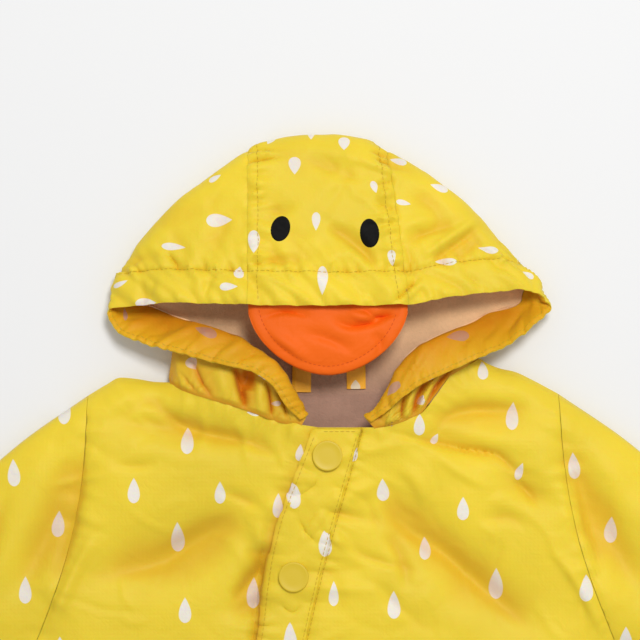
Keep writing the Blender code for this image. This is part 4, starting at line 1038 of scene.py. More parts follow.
@dataclass
class Body:
    """Fronts, back, sleeves, the flap over the opening and the lining at the back neck."""

    wardrobe: Wardrobe
    seam_height: float = 6.5
    full_height: float = 19.0
    side_round: float = 44.0
    under_round: float = 13.0
    neck_rise: float = 2.5
    outer: float = 0.6
    inner: float = -0.35
    flap_right: float = 14.0
    flap_end: float = -432.0
    flap_base: float = 1.1
    flap_slope: float = 6.0  # the flap's sewn edge rises over this
    flap_wall: float = 2.0
    lining_reach: float = -46.0
    arm_rows: int = 88
    upper_step: float = 3.0
    lower_step: float = 5.0
    shoulder_columns: int = 24
    outer_columns: int = 76
    flap_columns: int = 14
    centre_columns: int = 9
    neck_fade: float = 150.0
    fold_gain: float = 2.1  # folds are sharper on the real cloth than on the solid
    crease_gain: float = 2.2
    sleeve_rings: int = 60
    armhole_bow: float = 9.0
    hem_depth: float = 16.0  # the cuffs' and leg ends' stitching from their edge
    sheet: ClothSheet = field(default_factory=ClothSheet)

    @staticmethod
    def flap_edge(heights: Array) -> Array:
        """How far the flap reaches left of the opening line."""
        return x_at(FLAP_REACH, heights)

    def distance_in(self, xy: Array) -> Array:
        """Distance from each point to the nearest closed edge of the suit."""
        best = np.full(len(xy), FAR)
        for run in (*LEFT_RUNS.values(), *RIGHT_RUNS.values()):
            best = np.minimum(best, nearest_on(run, xy)[0])
        return np.where(best < ON_EDGE, 0.0, best)

    def large_folds(self, xy: Array) -> Array:
        """The folds that the solids have too."""
        total = np.zeros(len(xy))
        for x, y, angle, long, wide, deep in FOLDS:
            turn = math.radians(angle)
            offset = xy - np.array([x, y])
            along = offset @ np.array([math.cos(turn), math.sin(turn)])
            across = offset @ np.array([-math.sin(turn), math.cos(turn)])
            bend = across - FOLD_BOW * along**2
            ends = np.clip(1.0 - (along / long) ** 2, 0.0, 1.0) ** 1.5
            total += deep * ends * bell(bend, wide)
        return total

    def seam_dips(self, xy: Array, inside: Array) -> Array:
        """Puckers beside the seams: armholes, neck, side seams and the flap's stitching."""
        total = np.zeros(len(xy))
        for seed, side in ((11, LEFT_SIDE), (12, RIGHT_SIDE)):
            distance, signed, along = nearest_on(self.armhole(side), xy)
            total += -1.0 * bell(distance, 1.7) + Puckers(seed, 160.0, 8.0, 10.0, 1.5).at(along, signed)
        for seed, neck in ((21, FRONT_NECK_LEFT), (22, FRONT_NECK_RIGHT)):
            distance, signed, along = nearest_on(smooth_line(neck), xy)
            total += Puckers(seed, 90.0, 6.0, 9.0, 1.5).at(along, signed + 3.0) * np.clip(distance / 2.0, 0.0, 1.0)
        heights = np.linspace(0.0, -600.0, 120)
        line = np.stack([x_at(OPENING, heights), heights], axis=1)
        distance, signed, along = nearest_on(line + [self.flap_right + 0.6, 0.0], xy)
        total += -1.7 * bell(distance, 1.1) + Puckers(31, 610.0, 5.0, 6.5, 2.2).at(along, signed)
        total += Puckers(33, 610.0, 17.0, 17.0, 3.0, 0.8, 0.22).at(along, signed - 4.0)
        reach = np.stack([self.flap_edge(heights) + 0.6, np.zeros(len(heights))], axis=1)
        distance, signed, along = nearest_on(line - reach, xy)
        total += -3.3 * bell(signed + 2.1, 2.5) + Puckers(32, 610.0, 7.0, 8.0, 2.2).at(along, signed)
        total += Puckers(34, 610.0, 19.0, 15.0, 3.0, 0.9, 0.22).at(along, signed + 5.0)
        along = xy[:, 1] + xy[:, 0] * 0.6
        total += 0.5 * waves(along, 12.0, 5.0) * bell(inside - 5.0, 5.0)
        return total

    def hem_dips(self, xy: Array) -> Array:
        """The stitched channels at the cuffs and leg ends, with gathers from the elastic."""
        total = np.zeros(len(xy))
        for side in (LEFT_SIDE, RIGHT_SIDE):
            for ends in ((side["cuff_top"], side["cuff_bottom"]), (side["hem_out"], side["hem_in"])):
                distance, _, along = nearest_on(np.array(ends, float), xy)
                total += 0.9 * waves(along, 8.5, 6.0) * bell(distance, 22.0)
                total += -1.0 * bell(distance - self.hem_depth, 1.6)
        return total

    def front_painted_shade(self, plan: Array) -> Array:
        """How much painted shade the front's points get: darker and warmer in its folds and in a band beside the
        flap's left edge.
        """
        xy = plan.reshape(-1, 2)
        smooth = self.front_height(xy, detail=False)
        deep = np.clip((smooth - self.front_height(xy)) / 9.0 - 0.14, 0.0, 0.28)
        # painted shade: a dark warm band just left of the flap's edge, where the flap shades the front
        from_flap = x_at(OPENING, xy[:, 1]) - self.flap_edge(xy[:, 1]) - xy[:, 0]
        beside = 0.55 * bell(from_flap - 0.5, 2.4) * np.clip(-xy[:, 1] / 70.0, 0.25, 1.0) * (xy[:, 1] > self.flap_end)
        return np.maximum(deep, beside).reshape(plan.shape[:2])

    def front_height(self, xy: Array, detail: bool = True) -> Array:
        """Height of the middle of the front wall.

        Args:
            xy: Plan points.
            detail: Whether small creases and puckers count.

        Returns:
            The heights.
        """
        xy = np.atleast_2d(np.asarray(xy, float))
        inside = self.distance_in(xy)
        full = self.full_height + self.neck_rise * np.clip(1.0 + xy[:, 1] / 120.0, 0.0, 1.0)
        plump = rounded(inside, self.side_round)
        calm = np.clip(inside / 24.0, 0.0, 1.0)
        height = self.seam_height + (full - self.seam_height) * plump + self.large_folds(xy) * calm
        if detail:
            height = height + self.large_folds(xy) * calm * (self.fold_gain - 1.0)
            wrinkles = FRONT_CREASES + scattered_creases(7, 80, (-150.0, -130.0), (150.0, 20.0))
            wrinkles += scattered_creases(8, 190, (-300.0, -600.0), (300.0, -130.0))
            small = self.crease_gain * summed(wrinkles, xy)
            small += slack(xy, 3, 62.0, 0.6)
            small = small + self.seam_dips(xy, inside) + self.hem_dips(xy)
            height = height + small * np.clip(inside / 9.0, 0.0, 1.0)
        return height

    def back_height(self, xy: Array) -> Array:
        """Height of the middle of the back wall, flat on the floor away from its edges."""
        xy = np.atleast_2d(np.asarray(xy, float))
        inside = self.distance_in(xy)
        return self.seam_height - (self.seam_height - self.outer) * rounded(inside, self.under_round)

    def armhole(self, side: dict) -> Array:
        """Points down one armhole seam."""
        armhole = np.linspace(side["shoulder_tip"], side["underarm"], self.arm_rows + 1)
        bow = np.sin(np.linspace(0.0, math.pi, self.arm_rows + 1)) * self.armhole_bow
        armhole[:, 0] -= np.sign(armhole[:, 0]) * bow
        return armhole

    def lower_heights(self) -> tuple[Array, Array]:
        """Row heights from the underarm to the crotch, and from there to the hem."""
        count = round((CROTCH[1] - LEFT_SIDE["underarm"][1]) / -self.lower_step)
        upper = np.linspace(LEFT_SIDE["underarm"][1], CROTCH[1], count + 1)[1:]
        count = round((LEFT_SIDE["hem_out"][1] - CROTCH[1]) / -self.lower_step)
        lower = np.linspace(CROTCH[1], LEFT_SIDE["hem_out"][1] + 4.0, count)[1:]
        return upper, lower

    def side_points(self, side: dict, runs: dict[str, Array]) -> Array:
        """Row ends on the outer side: down the armhole, then down the side to the hem."""
        steps = np.concatenate(self.lower_heights())
        run = runs["side"]
        lower = np.stack([np.interp(-steps, -run[:, 1], run[:, 0]), steps], axis=1)
        return np.vstack([self.armhole(side), lower, [side["hem_out"]]])

    def inner_points(self, side: dict, runs: dict[str, Array], heights: Array) -> Array:
        """Row ends on the middle line, which runs down the inner leg below the crotch."""
        crotch_row = self.arm_rows + len(self.lower_heights()[0])
        run = runs["inner_leg"]
        upper, lower = heights[:crotch_row], heights[crotch_row + 1 : -1]
        above = np.stack([x_at(MIDDLE, upper), upper], axis=1)
        below = np.stack([np.interp(-lower, -run[:, 1], run[:, 0]), lower], axis=1)
        return np.vstack([above, [CROTCH], below, [side["hem_in"]]])

    def blended(self, straight: Array, top_row: Array, heights: Array) -> Array:
        """Rows that take the neckline's shape at the top and run straight further down."""
        fade = np.clip(1.0 - (heights[0] - heights) / self.neck_fade, 0.0, 1.0) ** 2
        return straight + (top_row - straight[0]) * fade[:, None, None]

    def grids(self) -> dict[str, Array]:
        """Plan grids of the front halves and the back halves."""
        made = {}
        left_ends = self.side_points(LEFT_SIDE, LEFT_RUNS)
        right_ends = self.side_points(RIGHT_SIDE, RIGHT_RUNS)
        heights = 0.5 * (left_ends[:, 1] + right_ends[:, 1])
        heights[0] = 0.0
        heights[-1] = LEFT_SIDE["hem_in"][1]
        heights[: self.arm_rows + 1] = np.linspace(0.0, heights[self.arm_rows], self.arm_rows + 1)
        opening = np.stack([x_at(OPENING, heights), heights], axis=1)
        reach = np.stack([self.flap_edge(heights), np.zeros(len(heights))], axis=1)
        flap_left, flap_right = opening - reach, opening + [self.flap_right, 0.0]
        middle_left = self.inner_points(LEFT_SIDE, LEFT_RUNS, heights)
        middle_right = self.inner_points(RIGHT_SIDE, RIGHT_RUNS, heights)
        columns = self.outer_columns - self.shoulder_columns
        left_shoulder = evenly(LEFT_RUNS["shoulder"], self.shoulder_columns + 1)
        right_shoulder = evenly(RIGHT_RUNS["shoulder"], self.shoulder_columns + 1)[::-1]
        left_shares = clustered(self.outer_columns, True, False)
        right_shares = clustered(self.outer_columns, False, True)

        top = np.vstack([left_shoulder, evenly(smooth_line(FRONT_NECK_LEFT), columns + 1)[1:]])
        top[-1] = flap_left[0]
        outer = self.blended(spread(left_ends, flap_left, left_shares), top, heights)
        flap = spread(flap_left, opening, np.linspace(0.0, 1.0, self.flap_columns + 1))
        made["front_left"] = np.concatenate([outer, flap[:, 1:]], axis=1)
        flap = spread(opening, flap_right, np.linspace(0.0, 1.0, self.flap_columns + 1))
        inner = spread(flap_right, middle_left, np.linspace(0.0, 1.0, self.centre_columns + 1))
        made["front_middle"] = np.concatenate([flap, inner[:, 1:]], axis=1)
        top = np.vstack([evenly(smooth_line(FRONT_NECK_RIGHT), columns + 1)[:-1], right_shoulder])
        top[0] = middle_right[0]
        made["front_right"] = self.blended(spread(middle_right, right_ends, right_shares), top, heights)

        back_neck = evenly(smooth_line(BACK_NECK), 2 * columns + 1)
        top = np.vstack([left_shoulder, back_neck[1 : columns + 1]])
        made["back_left"] = self.blended(spread(left_ends, middle_left, left_shares), top, heights)
        top = np.vstack([back_neck[columns:-1], right_shoulder])
        made["back_right"] = self.blended(spread(middle_right, right_ends, right_shares), top, heights)
        return made

    def sleeve_grid(self, side: dict, runs: dict[str, Array]) -> Array:
        """Plan grid of a sleeve, from the armhole to the cuff."""
        rings = self.sleeve_rings
        over, under = evenly(runs["over_arm"], rings + 1), evenly(runs["under_arm"], rings + 1)
        shares = 0.5 - 0.5 * np.cos(np.linspace(0.0, math.pi, self.arm_rows + 1))
        armhole = self.armhole(side)
        base = over[0] + (under[0] - over[0]) * shares[:, None]
        straight = over[None, :, :] + (under - over)[None, :, :] * shares[:, None, None]
        fade = (1.0 - np.arange(rings + 1) / rings) ** 2
        return straight + (armhole - base)[:, None, :] * fade[None, :, None]

    def build_sheet(self) -> None:
        """The whole body as one sheet."""
        made = self.grids()
        fronts = {"front_left": "front_left", "front_middle": "front_right", "front_right": "front_right"}
        for name, panel in fronts.items():
            self.sheet.add_grid(lifted(made[name], self.front_height), panel, painted_shade=self.front_painted_shade(made[name]))
        for name in ("back_left", "back_right"):
            self.sheet.add_grid(lifted(made[name], self.back_height), "back", turned=True)
        for name, side, runs in (("sleeve_left", LEFT_SIDE, LEFT_RUNS), ("sleeve_right", RIGHT_SIDE, RIGHT_RUNS)):
            plan = self.sleeve_grid(side, runs)
            left = side is LEFT_SIDE
            self.sheet.add_grid(lifted(plan, self.front_height), name, left, self.front_painted_shade(plan))
            self.sheet.add_grid(lifted(plan, self.back_height), name, turned=not left)
        self.sheet.weld()

    def drops(self) -> list[tuple]:
        """The print of the whole body: as photographed near the hood, repeated below and on the arms."""
        return BODY_DROPS + DropPrint().rows((-300.0, -600.0), (305.0, 30.0), 90.0, self.charted)

    @staticmethod
    def charted(x: float, y: float) -> bool:
        """Whether a place is in the photograph's view, or close to a drop that shows there."""
        near = any(math.hypot(x - drop[0], y - drop[1]) < 25.0 for drop in BODY_DROPS)
        return near or (y > -124.0 and abs(x) < 128.0)

    def build(self) -> dict[str, bpy.types.Object]:
        """Builds and dresses the body's pieces.

        Returns:
            The pieces by name.
        """
        self.build_sheet()
        sheet, repeat = self.sheet, DropPrint()
        drops = self.drops()
        pieces = {}
        flats = {
            "front_left": (0.17, 0.64), "front_right": (0.27, 0.66), "back": (0.36, 0.65),
            "sleeve_left": (0.30, 0.24), "sleeve_right": (0.30, 0.24),
        }
        for name, flat in flats.items():
            chosen = sheet.panel == name
            uv = repeat.coordinates(sheet.flat[chosen], drops)
            item = Wall(sheet, chosen, self.outer, self.inner).build(f"{name}_cloth", uv)
            self.wardrobe.dress(item, SHELL_CLOTH, Slot.CLOTH, name)
            area = min(sheet.area(chosen), flat[0] * flat[1])
            pieces[name] = item

        middle = sheet.points[sheet.faces].mean(axis=1)
        line = x_at(OPENING, middle[:, 1])
        beside = (middle[:, 0] > line - self.flap_edge(middle[:, 1])) & (middle[:, 0] < line + self.flap_right)
        front = np.isin(sheet.panel.astype(str), ("front_left", "front_right"))
        chosen = beside & front & (middle[:, 1] > self.flap_end)
        line = x_at(OPENING, sheet.points[:, 1])
        reach = self.flap_edge(sheet.points[:, 1])
        from_edge = np.minimum(sheet.points[:, 0] - line + reach, -sheet.points[:, 1])
        from_seam = line + self.flap_right - sheet.points[:, 0]
        full = rounded(np.clip(from_edge, 0.0, None), 1.3) * rounded(np.clip(from_seam, 0.0, None), self.flap_slope)
        top = self.flap_base + 0.4 + (self.flap_wall - 0.4) * full
        uv = repeat.coordinates(sheet.flat[chosen], drops)
        flap = Wall(sheet, chosen, top, self.flap_base, 0.5).build("storm_flap_cloth", uv)
        self.wardrobe.dress(flap, SHELL_CLOTH, Slot.CLOTH, "storm_flap")
        min(sheet.area(chosen), 0.034 * 0.45)
        pieces["storm_flap"] = flap

        chosen = (sheet.panel == "back") & (abs(middle[:, 0]) < 74.0) & (middle[:, 1] > self.lining_reach)
        lining = Wall(sheet, chosen, -0.9, -1.9, 0.4).build("back_neck_lining_fleece")
        self.wardrobe.dress(lining, FLEECE, Slot.LINING, "back_neck_lining")
        min(sheet.area(chosen), 0.15 * 0.068)
        pieces["back_neck_lining"] = lining
        return pieces


# ---------------------------------------------------------------------------
# The hood
# ---------------------------------------------------------------------------


@dataclass
class Hood:
    """The hood's three panels, the facing of its front hem and its lining."""

    wardrobe: Wardrobe
    body: Body
    hem_width: float = 19.0
    fold_round: float = 13.0
    crease_gain: float = 2.1
    neck_lap: float = 1.3  # the hood's edge laps the body's at the neck seam
    lip_over: float = 0.8  # how far the facing runs over the turn of the lips
    lip_most: float = 29.0
    edge_round: float = 2.4  # the cloth thins to its front edge over this
    columns_per_section: int = 15
    hem_rows: int = 13
    rows: int = 96
    outer: float = 0.6
    inner: float = -0.35
    lip_stitch: float = 2.4  # the lips' edge stitch from the front edge
    seam_stitch: float = 5.6  # the seams' topstitch from the seam
    facing_wall: tuple[float, float] = (-0.55, -1.3)
    lining_wall: tuple[float, float] = (-1.0, -2.0)
    sheet: ClothSheet = field(default_factory=ClothSheet)

    def stations(self, where: Array) -> Array:
        """Section values at fractional section numbers."""
        table = []
        for section in HOOD:
            edge, turn, neck = section[0:3], section[3:6], section[6:8]
            layer, shelf, fold = section[8:11]
            front = self.body.front_height([neck])[0]
            back = self.body.back_height([neck])[0]
            neck_height = front * layer + back * (1 - layer) + 0.4 * self.neck_lap * layer
            neck = (neck[0], neck[1] - self.neck_lap)
            low = neck_height if layer else self.body.outer
            bend = section[11:13] or ((turn[0] + neck[0]) / 2, (turn[1] + neck[1]) / 2)
            table.append([*edge, *turn, *neck, neck_height, low, shelf, fold, *bend])
        return smooth_values(np.arange(len(HOOD)), table, where)

    def run(self, values: Array, count: int = 160) -> tuple[Array, Array]:
        """One section as dense lines: front edge to turn, turn to neck seam."""
        edge, turn, neck = values[0:3], values[3:6], values[6:9]
        low, shelf, fold, bend = values[9], values[10], values[11], values[12:14]
        share = np.linspace(0.0, 1.0, count) ** 1.6
        reach = np.linalg.norm(edge[:2] - turn[:2])
        part = np.clip(share * reach / min(self.fold_round, reach), 0.0, 1.0)
        rise = fold * np.sqrt(1.0 - (1.0 - part) ** 2) + (1 - fold) * part**2
        plan = turn[:2] + (edge[:2] - turn[:2]) * share[:, None]
        upper = turn[2] + (shelf - turn[2]) * rise + (edge[2] - shelf) * share**1.2
        first = np.column_stack([plan, upper])[::-1]
        u = share[:, None]
        plan = turn[:2] * (1 - u) ** 2 + 2 * bend * u * (1 - u) + neck[:2] * u**2
        reach = np.linalg.norm(neck[:2] - turn[:2])
        part = np.clip(share * reach / min(self.fold_round, 0.6 * reach), 0.0, 1.0)
        drop = fold * np.sqrt(1.0 - (1.0 - part) ** 2) + (1 - fold) * (1.0 - (1.0 - part) ** 2)
        settle = np.clip((share - 0.75) / 0.25, 0.0, 1.0) ** 2
        lower = turn[2] + (low - turn[2]) * drop + (neck[2] - low) * settle
        return first, np.column_stack([plan, lower])

    def rows_of(self, first: Array, second: Array, lip: float) -> tuple[Array, Array, float]:
        """Points of one section: the hem first, then closer together round the fold.

        Args:
            first: Front edge to turn.
            second: Turn to neck seam.
            lip: 1 on the chin's lips, where the facing reaches over the turn, 0 on the brim.

        Returns:
            The points, their distance from the front edge, and the fold's distance.
        """
        line = np.vstack([first, second[1:]])
        length = lengths_along(line)
        steps = np.diff(length)
        fold_at = length[len(first) - 1]
        over = min(max(fold_at + self.lip_over, self.hem_width), self.lip_most)
        hem = self.hem_width + (over - self.hem_width) * lip
        wanted = list(np.linspace(0.0, hem, self.hem_rows + 1))
        dense = 1.0 + 1.6 * bell(length - fold_at, 9.0) + 3.0 * (length < fold_at)
        weight = np.concatenate([[0.0], np.cumsum(steps * 0.5 * (dense[1:] + dense[:-1]))])
        start = np.interp(hem, length, weight)
        marks = np.linspace(start, weight[-1], self.rows - self.hem_rows + 1)[1:]
        wanted += list(np.interp(marks, weight, length))
        return at_lengths(line, np.array(wanted)), np.array(wanted), fold_at

    def build_sheet(self) -> None:
        """The whole hood as one sheet, with its puckers and creases."""
        count = (len(HOOD) - 1) * self.columns_per_section + 1
        self.where = np.linspace(0.0, len(HOOD) - 1.0, count)
        lips = self.near_ends(self.where, 8.0, 1.5)
        made = [self.rows_of(*self.run(values), lip) for values, lip in zip(self.stations(self.where), lips)]
        grid = np.array([points for points, _, _ in made])
        self.down = np.array([lengths for _, lengths, _ in made])
        self.fold_at = np.array([fold for _, _, fold in made])
        steps = np.linalg.norm(np.diff(grid, axis=0), axis=2)
        self.across = np.vstack([np.zeros(grid.shape[1]), np.cumsum(steps, axis=0)])
        self.detail = self.details(grid)
        self.grid = grid + self.out_of(grid) * self.detail[..., None]
        middle = 0.5 * (self.where[1:] + self.where[:-1])
        names = np.where(middle < CENTRE_LEFT, "hood_side_left",
                         np.where(middle < CENTRE_RIGHT, "hood_centre", "hood_side_right")).astype(object)
        self.sheet.add_grid(self.grid, np.repeat(names[:, None], grid.shape[1] - 1, axis=1), painted_shade=self.hood_painted_shade())

    def hood_painted_shade(self) -> Array:
        """How much painted shade the hood's points get: in its pleats, in the chin's pockets under the lips, and
        inwards across the lips' facing.
        """
        where = self.where[:, None]
        chin = self.near_ends(where, 6.0, 1.5)
        under = np.clip((self.down - self.fold_at[:, None]) / 6.0, 0.0, 1.0)
        deep = np.clip(0.72 - self.detail / 5.0, 0.15, 1.0)
        pleats = np.clip(-self.detail / 4.0 - 0.1, 0.0, 0.6)
        lips = self.near_ends(where, 8.0, 1.5)
        # painted shade: the facing darkens inwards from the lips' edge, under the brim
        inwards = 0.55 * lips * (1.0 - under) * np.clip(self.down / self.hem_width, 0.0, 1.0) ** 1.4
        return np.clip(chin * under * deep + 0.4 * (1.0 - chin) * pleats + inwards, 0.0, 1.0)

    @staticmethod
    def near_ends(where: Array, reach: float, fade: float) -> Array:
        """1 within a reach of either end of the hood's run, in section numbers, fading to 0 past it."""
        return 1.0 - np.clip((np.minimum(where, len(HOOD) - 1 - where) - reach) / fade, 0.0, 1.0)

    @staticmethod
    def out_of(grid: Array) -> Array:
        """Unit normals of a grid, out of the hood."""
        out = np.cross(np.gradient(grid, axis=0), np.gradient(grid, axis=1))
        return out / np.maximum(np.linalg.norm(out, axis=2), 1e-9)[..., None]

    def details(self, grid: Array) -> Array:
        """How far the cloth stands out of its smooth form at each point."""
        where = self.where[:, None]
        down, across = self.down, self.across
        end = down[:, -1:]
        from_fold = self.fold_at[:, None] - down
        upper = 1.0 / (1.0 + np.exp(-from_fold / 2.5))
        brim = np.clip((where - CORNER_LEFT - 0.5) / 1.5, 0.0, 1.0)
        brim = brim * np.clip((CORNER_RIGHT - 0.5 - where) / 1.5, 0.0, 1.0)
        chin = self.near_ends(where, 5.0, 2.0)
        hem = self.hem_width
        start = self.across[CORNER_LEFT * self.columns_per_section]
        along = across - start
        total = brim * (Puckers(41, 270.0, 5.2, 6.0, 3.0).at(along, down - hem)
                        + Puckers(42, 270.0, 13.0, 11.0, 3.6, 0.9).at(along, down - 7.0)
                        + Puckers(43, 270.0, 7.0, 4.5, 2.2, 0.2).at(along, down - 2.0)
                        + Puckers(44, 270.0, 9.0, 9.0, 1.6, 0.5).at(along, down - hem - 9.0)
                        - 1.1 * bell(down - hem, 1.1)
                        + 0.9 * np.sin(np.clip(down / hem, 0.0, 1.0) * math.pi))
        for seam, sign, seed in ((CENTRE_LEFT, 1.0, 51), (CENTRE_RIGHT, -1.0, 52)):
            column = seam * self.columns_per_section
            beside = (across - across[column]) * sign
            live = upper * np.clip((down - hem) / 4.0, 0.3, 1.0)
            gather = Puckers(seed, 130.0, 5.4, 8.5, 4.3).at(down, beside - 4.5)
            total = total + live * (gather * np.clip(beside / 3.0 + 0.8, 0.0, 1.0) - 0.5 * bell(beside, 1.1))
            total = total - 0.45 * live * bell(beside - 5.8, 0.9)
        flat = grid[..., :2].reshape(-1, 2)
        small = scattered_creases(9, 46, (-110.0, 88.0), (112.0, 158.0))
        soft = summed(HOOD_CREASES + small, flat)
        soft += slack(flat, 4, 40.0, 0.25) * np.clip((down.reshape(-1) - hem) / 10.0, 0.0, 1.0)
        between = np.clip(where - CORNER_LEFT - 0.5, 0, 1) * np.clip(CORNER_RIGHT + 0.5 - where, 0, 1)
        total = total + self.crease_gain * soft.reshape(down.shape) * upper * between
        # gathers of the chin at the neck seam, deepest at the seam
        to_seam = end - down
        under = chin * (1.0 - upper)
        pleats = summed(CHIN_CREASES, flat).reshape(down.shape)
        fine = Puckers(61, 700.0, 4.2, 6.0, 0.9, 0.3).at(across, to_seam - 2.0)
        total = total + under * (pleats + fine + 1.6) * np.clip(to_seam / 3.0, 0.0, 1.0)
        # the lips: puckers along the edge stitch, and slack between it and the lining
        lips = 1.0 - brim
        total = total - lips * (Puckers(71, 700.0, 5.0, 5.0, 1.9).at(across, down - 2.4)
                                + Puckers(72, 700.0, 13.0, 9.0, 3.0, 0.7).at(across, down - 11.0)) * upper
        back = (1.0 - chin) * (1.0 - upper)
        total = total + back * 0.8 * waves(across, 9.0, 5.1) * bell(to_seam, 12.0) * np.clip(to_seam / 3.0, 0.0, 1.0)
        ends = np.clip(np.minimum(where, len(HOOD) - 1 - where) / 0.5, 0.0, 1.0)
        return total * ends

    def edge_row(self, distance: float, low: float, high: float, offset: float) -> tuple[Array, Array]:
        """A row along the front edge.

        Args:
            distance: How far from the edge.
            low: First section number.
            high: Last section number.
            offset: How far out of the cloth; minus sews on its inner side.

        Returns:
            The row's points and the directions out of the cloth.
        """
        out = self.out_of(self.grid)
        points, normals = [], []
        for column in np.flatnonzero((self.where >= low) & (self.where <= high)):
            place, way = (np.array([np.interp(distance, self.down[column], source[column, :, axis])
                                    for axis in range(3)]) for source in (self.grid, out))
            points.append(place + way * offset)
            normals.append(way * (1.0 if offset > 0 else -1.0))
        return np.array(points), np.array(normals)

    def seam_row(self, seam: int, sign: float) -> tuple[Array, Array]:
        """A row beside one seam of the centre strip, on the side that the sign says."""
        out = self.out_of(self.grid)
        column = seam * self.columns_per_section
        points, normals = [], []
        for row in range(self.grid.shape[1]):
            if 2.0 < self.down[column, row] < self.fold_at[column] + 60.0:
                beside = (self.across[:, row] - self.across[column, row]) * sign
                order = np.argsort(beside)
                place, way = (np.array([np.interp(self.seam_stitch, beside[order], source[order, row, axis])
                                        for axis in range(3)]) for source in (self.grid, out))
                points.append(place + way * self.outer)
                normals.append(way)
        return np.array(points), np.array(normals)

    def print_plans(self) -> tuple[Array, Array]:
        """Which faces lie on the hood's upper side and which on the chin's outer side."""
        down = 0.25 * (self.down[:-1, :-1] + self.down[1:, :-1] + self.down[1:, 1:] + self.down[:-1, 1:]).reshape(-1)
        fold = np.repeat(0.5 * (self.fold_at[1:] + self.fold_at[:-1]), self.down.shape[1] - 1)
        where = np.repeat(0.5 * (self.where[1:] + self.where[:-1]), self.down.shape[1] - 1)
        brim = (where > CORNER_LEFT) & (where < CORNER_RIGHT)
        chin = (where < CHIN_LEFT + 0.5) | (where > CHIN_RIGHT - 0.5)
        return brim & (down < fold), chin & (down >= fold)

    def build(self) -> dict[str, bpy.types.Object]:
        """Builds and dresses the hood's pieces.

        Returns:
            The pieces by name.
        """
        self.build_sheet()
        sheet, repeat = self.sheet, DropPrint()
        on_top, on_chin = self.print_plans()
        behind = repeat.rows((-120.0, 20.0), (125.0, 150.0), 270.0, lambda x, y: False)
        uv = np.where(on_top[:, None, None], repeat.coordinates(sheet.flat, HOOD_DROPS),
                      np.where(on_chin[:, None, None], repeat.coordinates(sheet.flat, CHIN_DROPS),
                               repeat.coordinates(sheet.flat, behind)))
        ease = rounded(self.down.reshape(-1), self.edge_round)
        pieces = {}
        flats = {"hood_side_left": (0.20, 0.16), "hood_centre": (0.092, 0.25), "hood_side_right": (0.20, 0.16)}
        for name, flat in flats.items():
            chosen = sheet.panel == name
            outer = 0.05 + (self.outer - 0.05) * ease
            item = Wall(sheet, chosen, outer, self.inner, 0.06).build(f"{name}_cloth", uv[chosen])
            self.wardrobe.dress(item, SHELL_CLOTH, Slot.CLOTH, name)
            min(sheet.area(chosen), flat[0] * flat[1])
            pieces[name] = item
        hem = sheet.column < self.hem_rows
        facing_uv = repeat.coordinates(sheet.flat[hem], FACING_DROPS)
        upper, lower = self.facing_wall
        lower = upper + (lower - upper) * (0.35 + 0.65 * ease)
        item = Wall(sheet, hem, upper, lower, 0.15).build("hem_facing_cloth", facing_uv)
        self.wardrobe.dress(item, FACING_CLOTH, Slot.CLOTH, "hem_facing")
        min(sheet.area(hem), 0.54 * 0.029)
        pieces["hem_facing"] = item
        upper, lower = self.lining_wall
        item = Wall(sheet, ~hem, upper, lower, 0.2).build("hood_lining_fleece")
        self.wardrobe.dress(item, FLEECE, Slot.LINING, "hood_lining")
        min(sheet.area(~hem), 0.52 * 0.25)
        pieces["hood_lining"] = item
        return pieces


# ---------------------------------------------------------------------------
# Trim
# ---------------------------------------------------------------------------


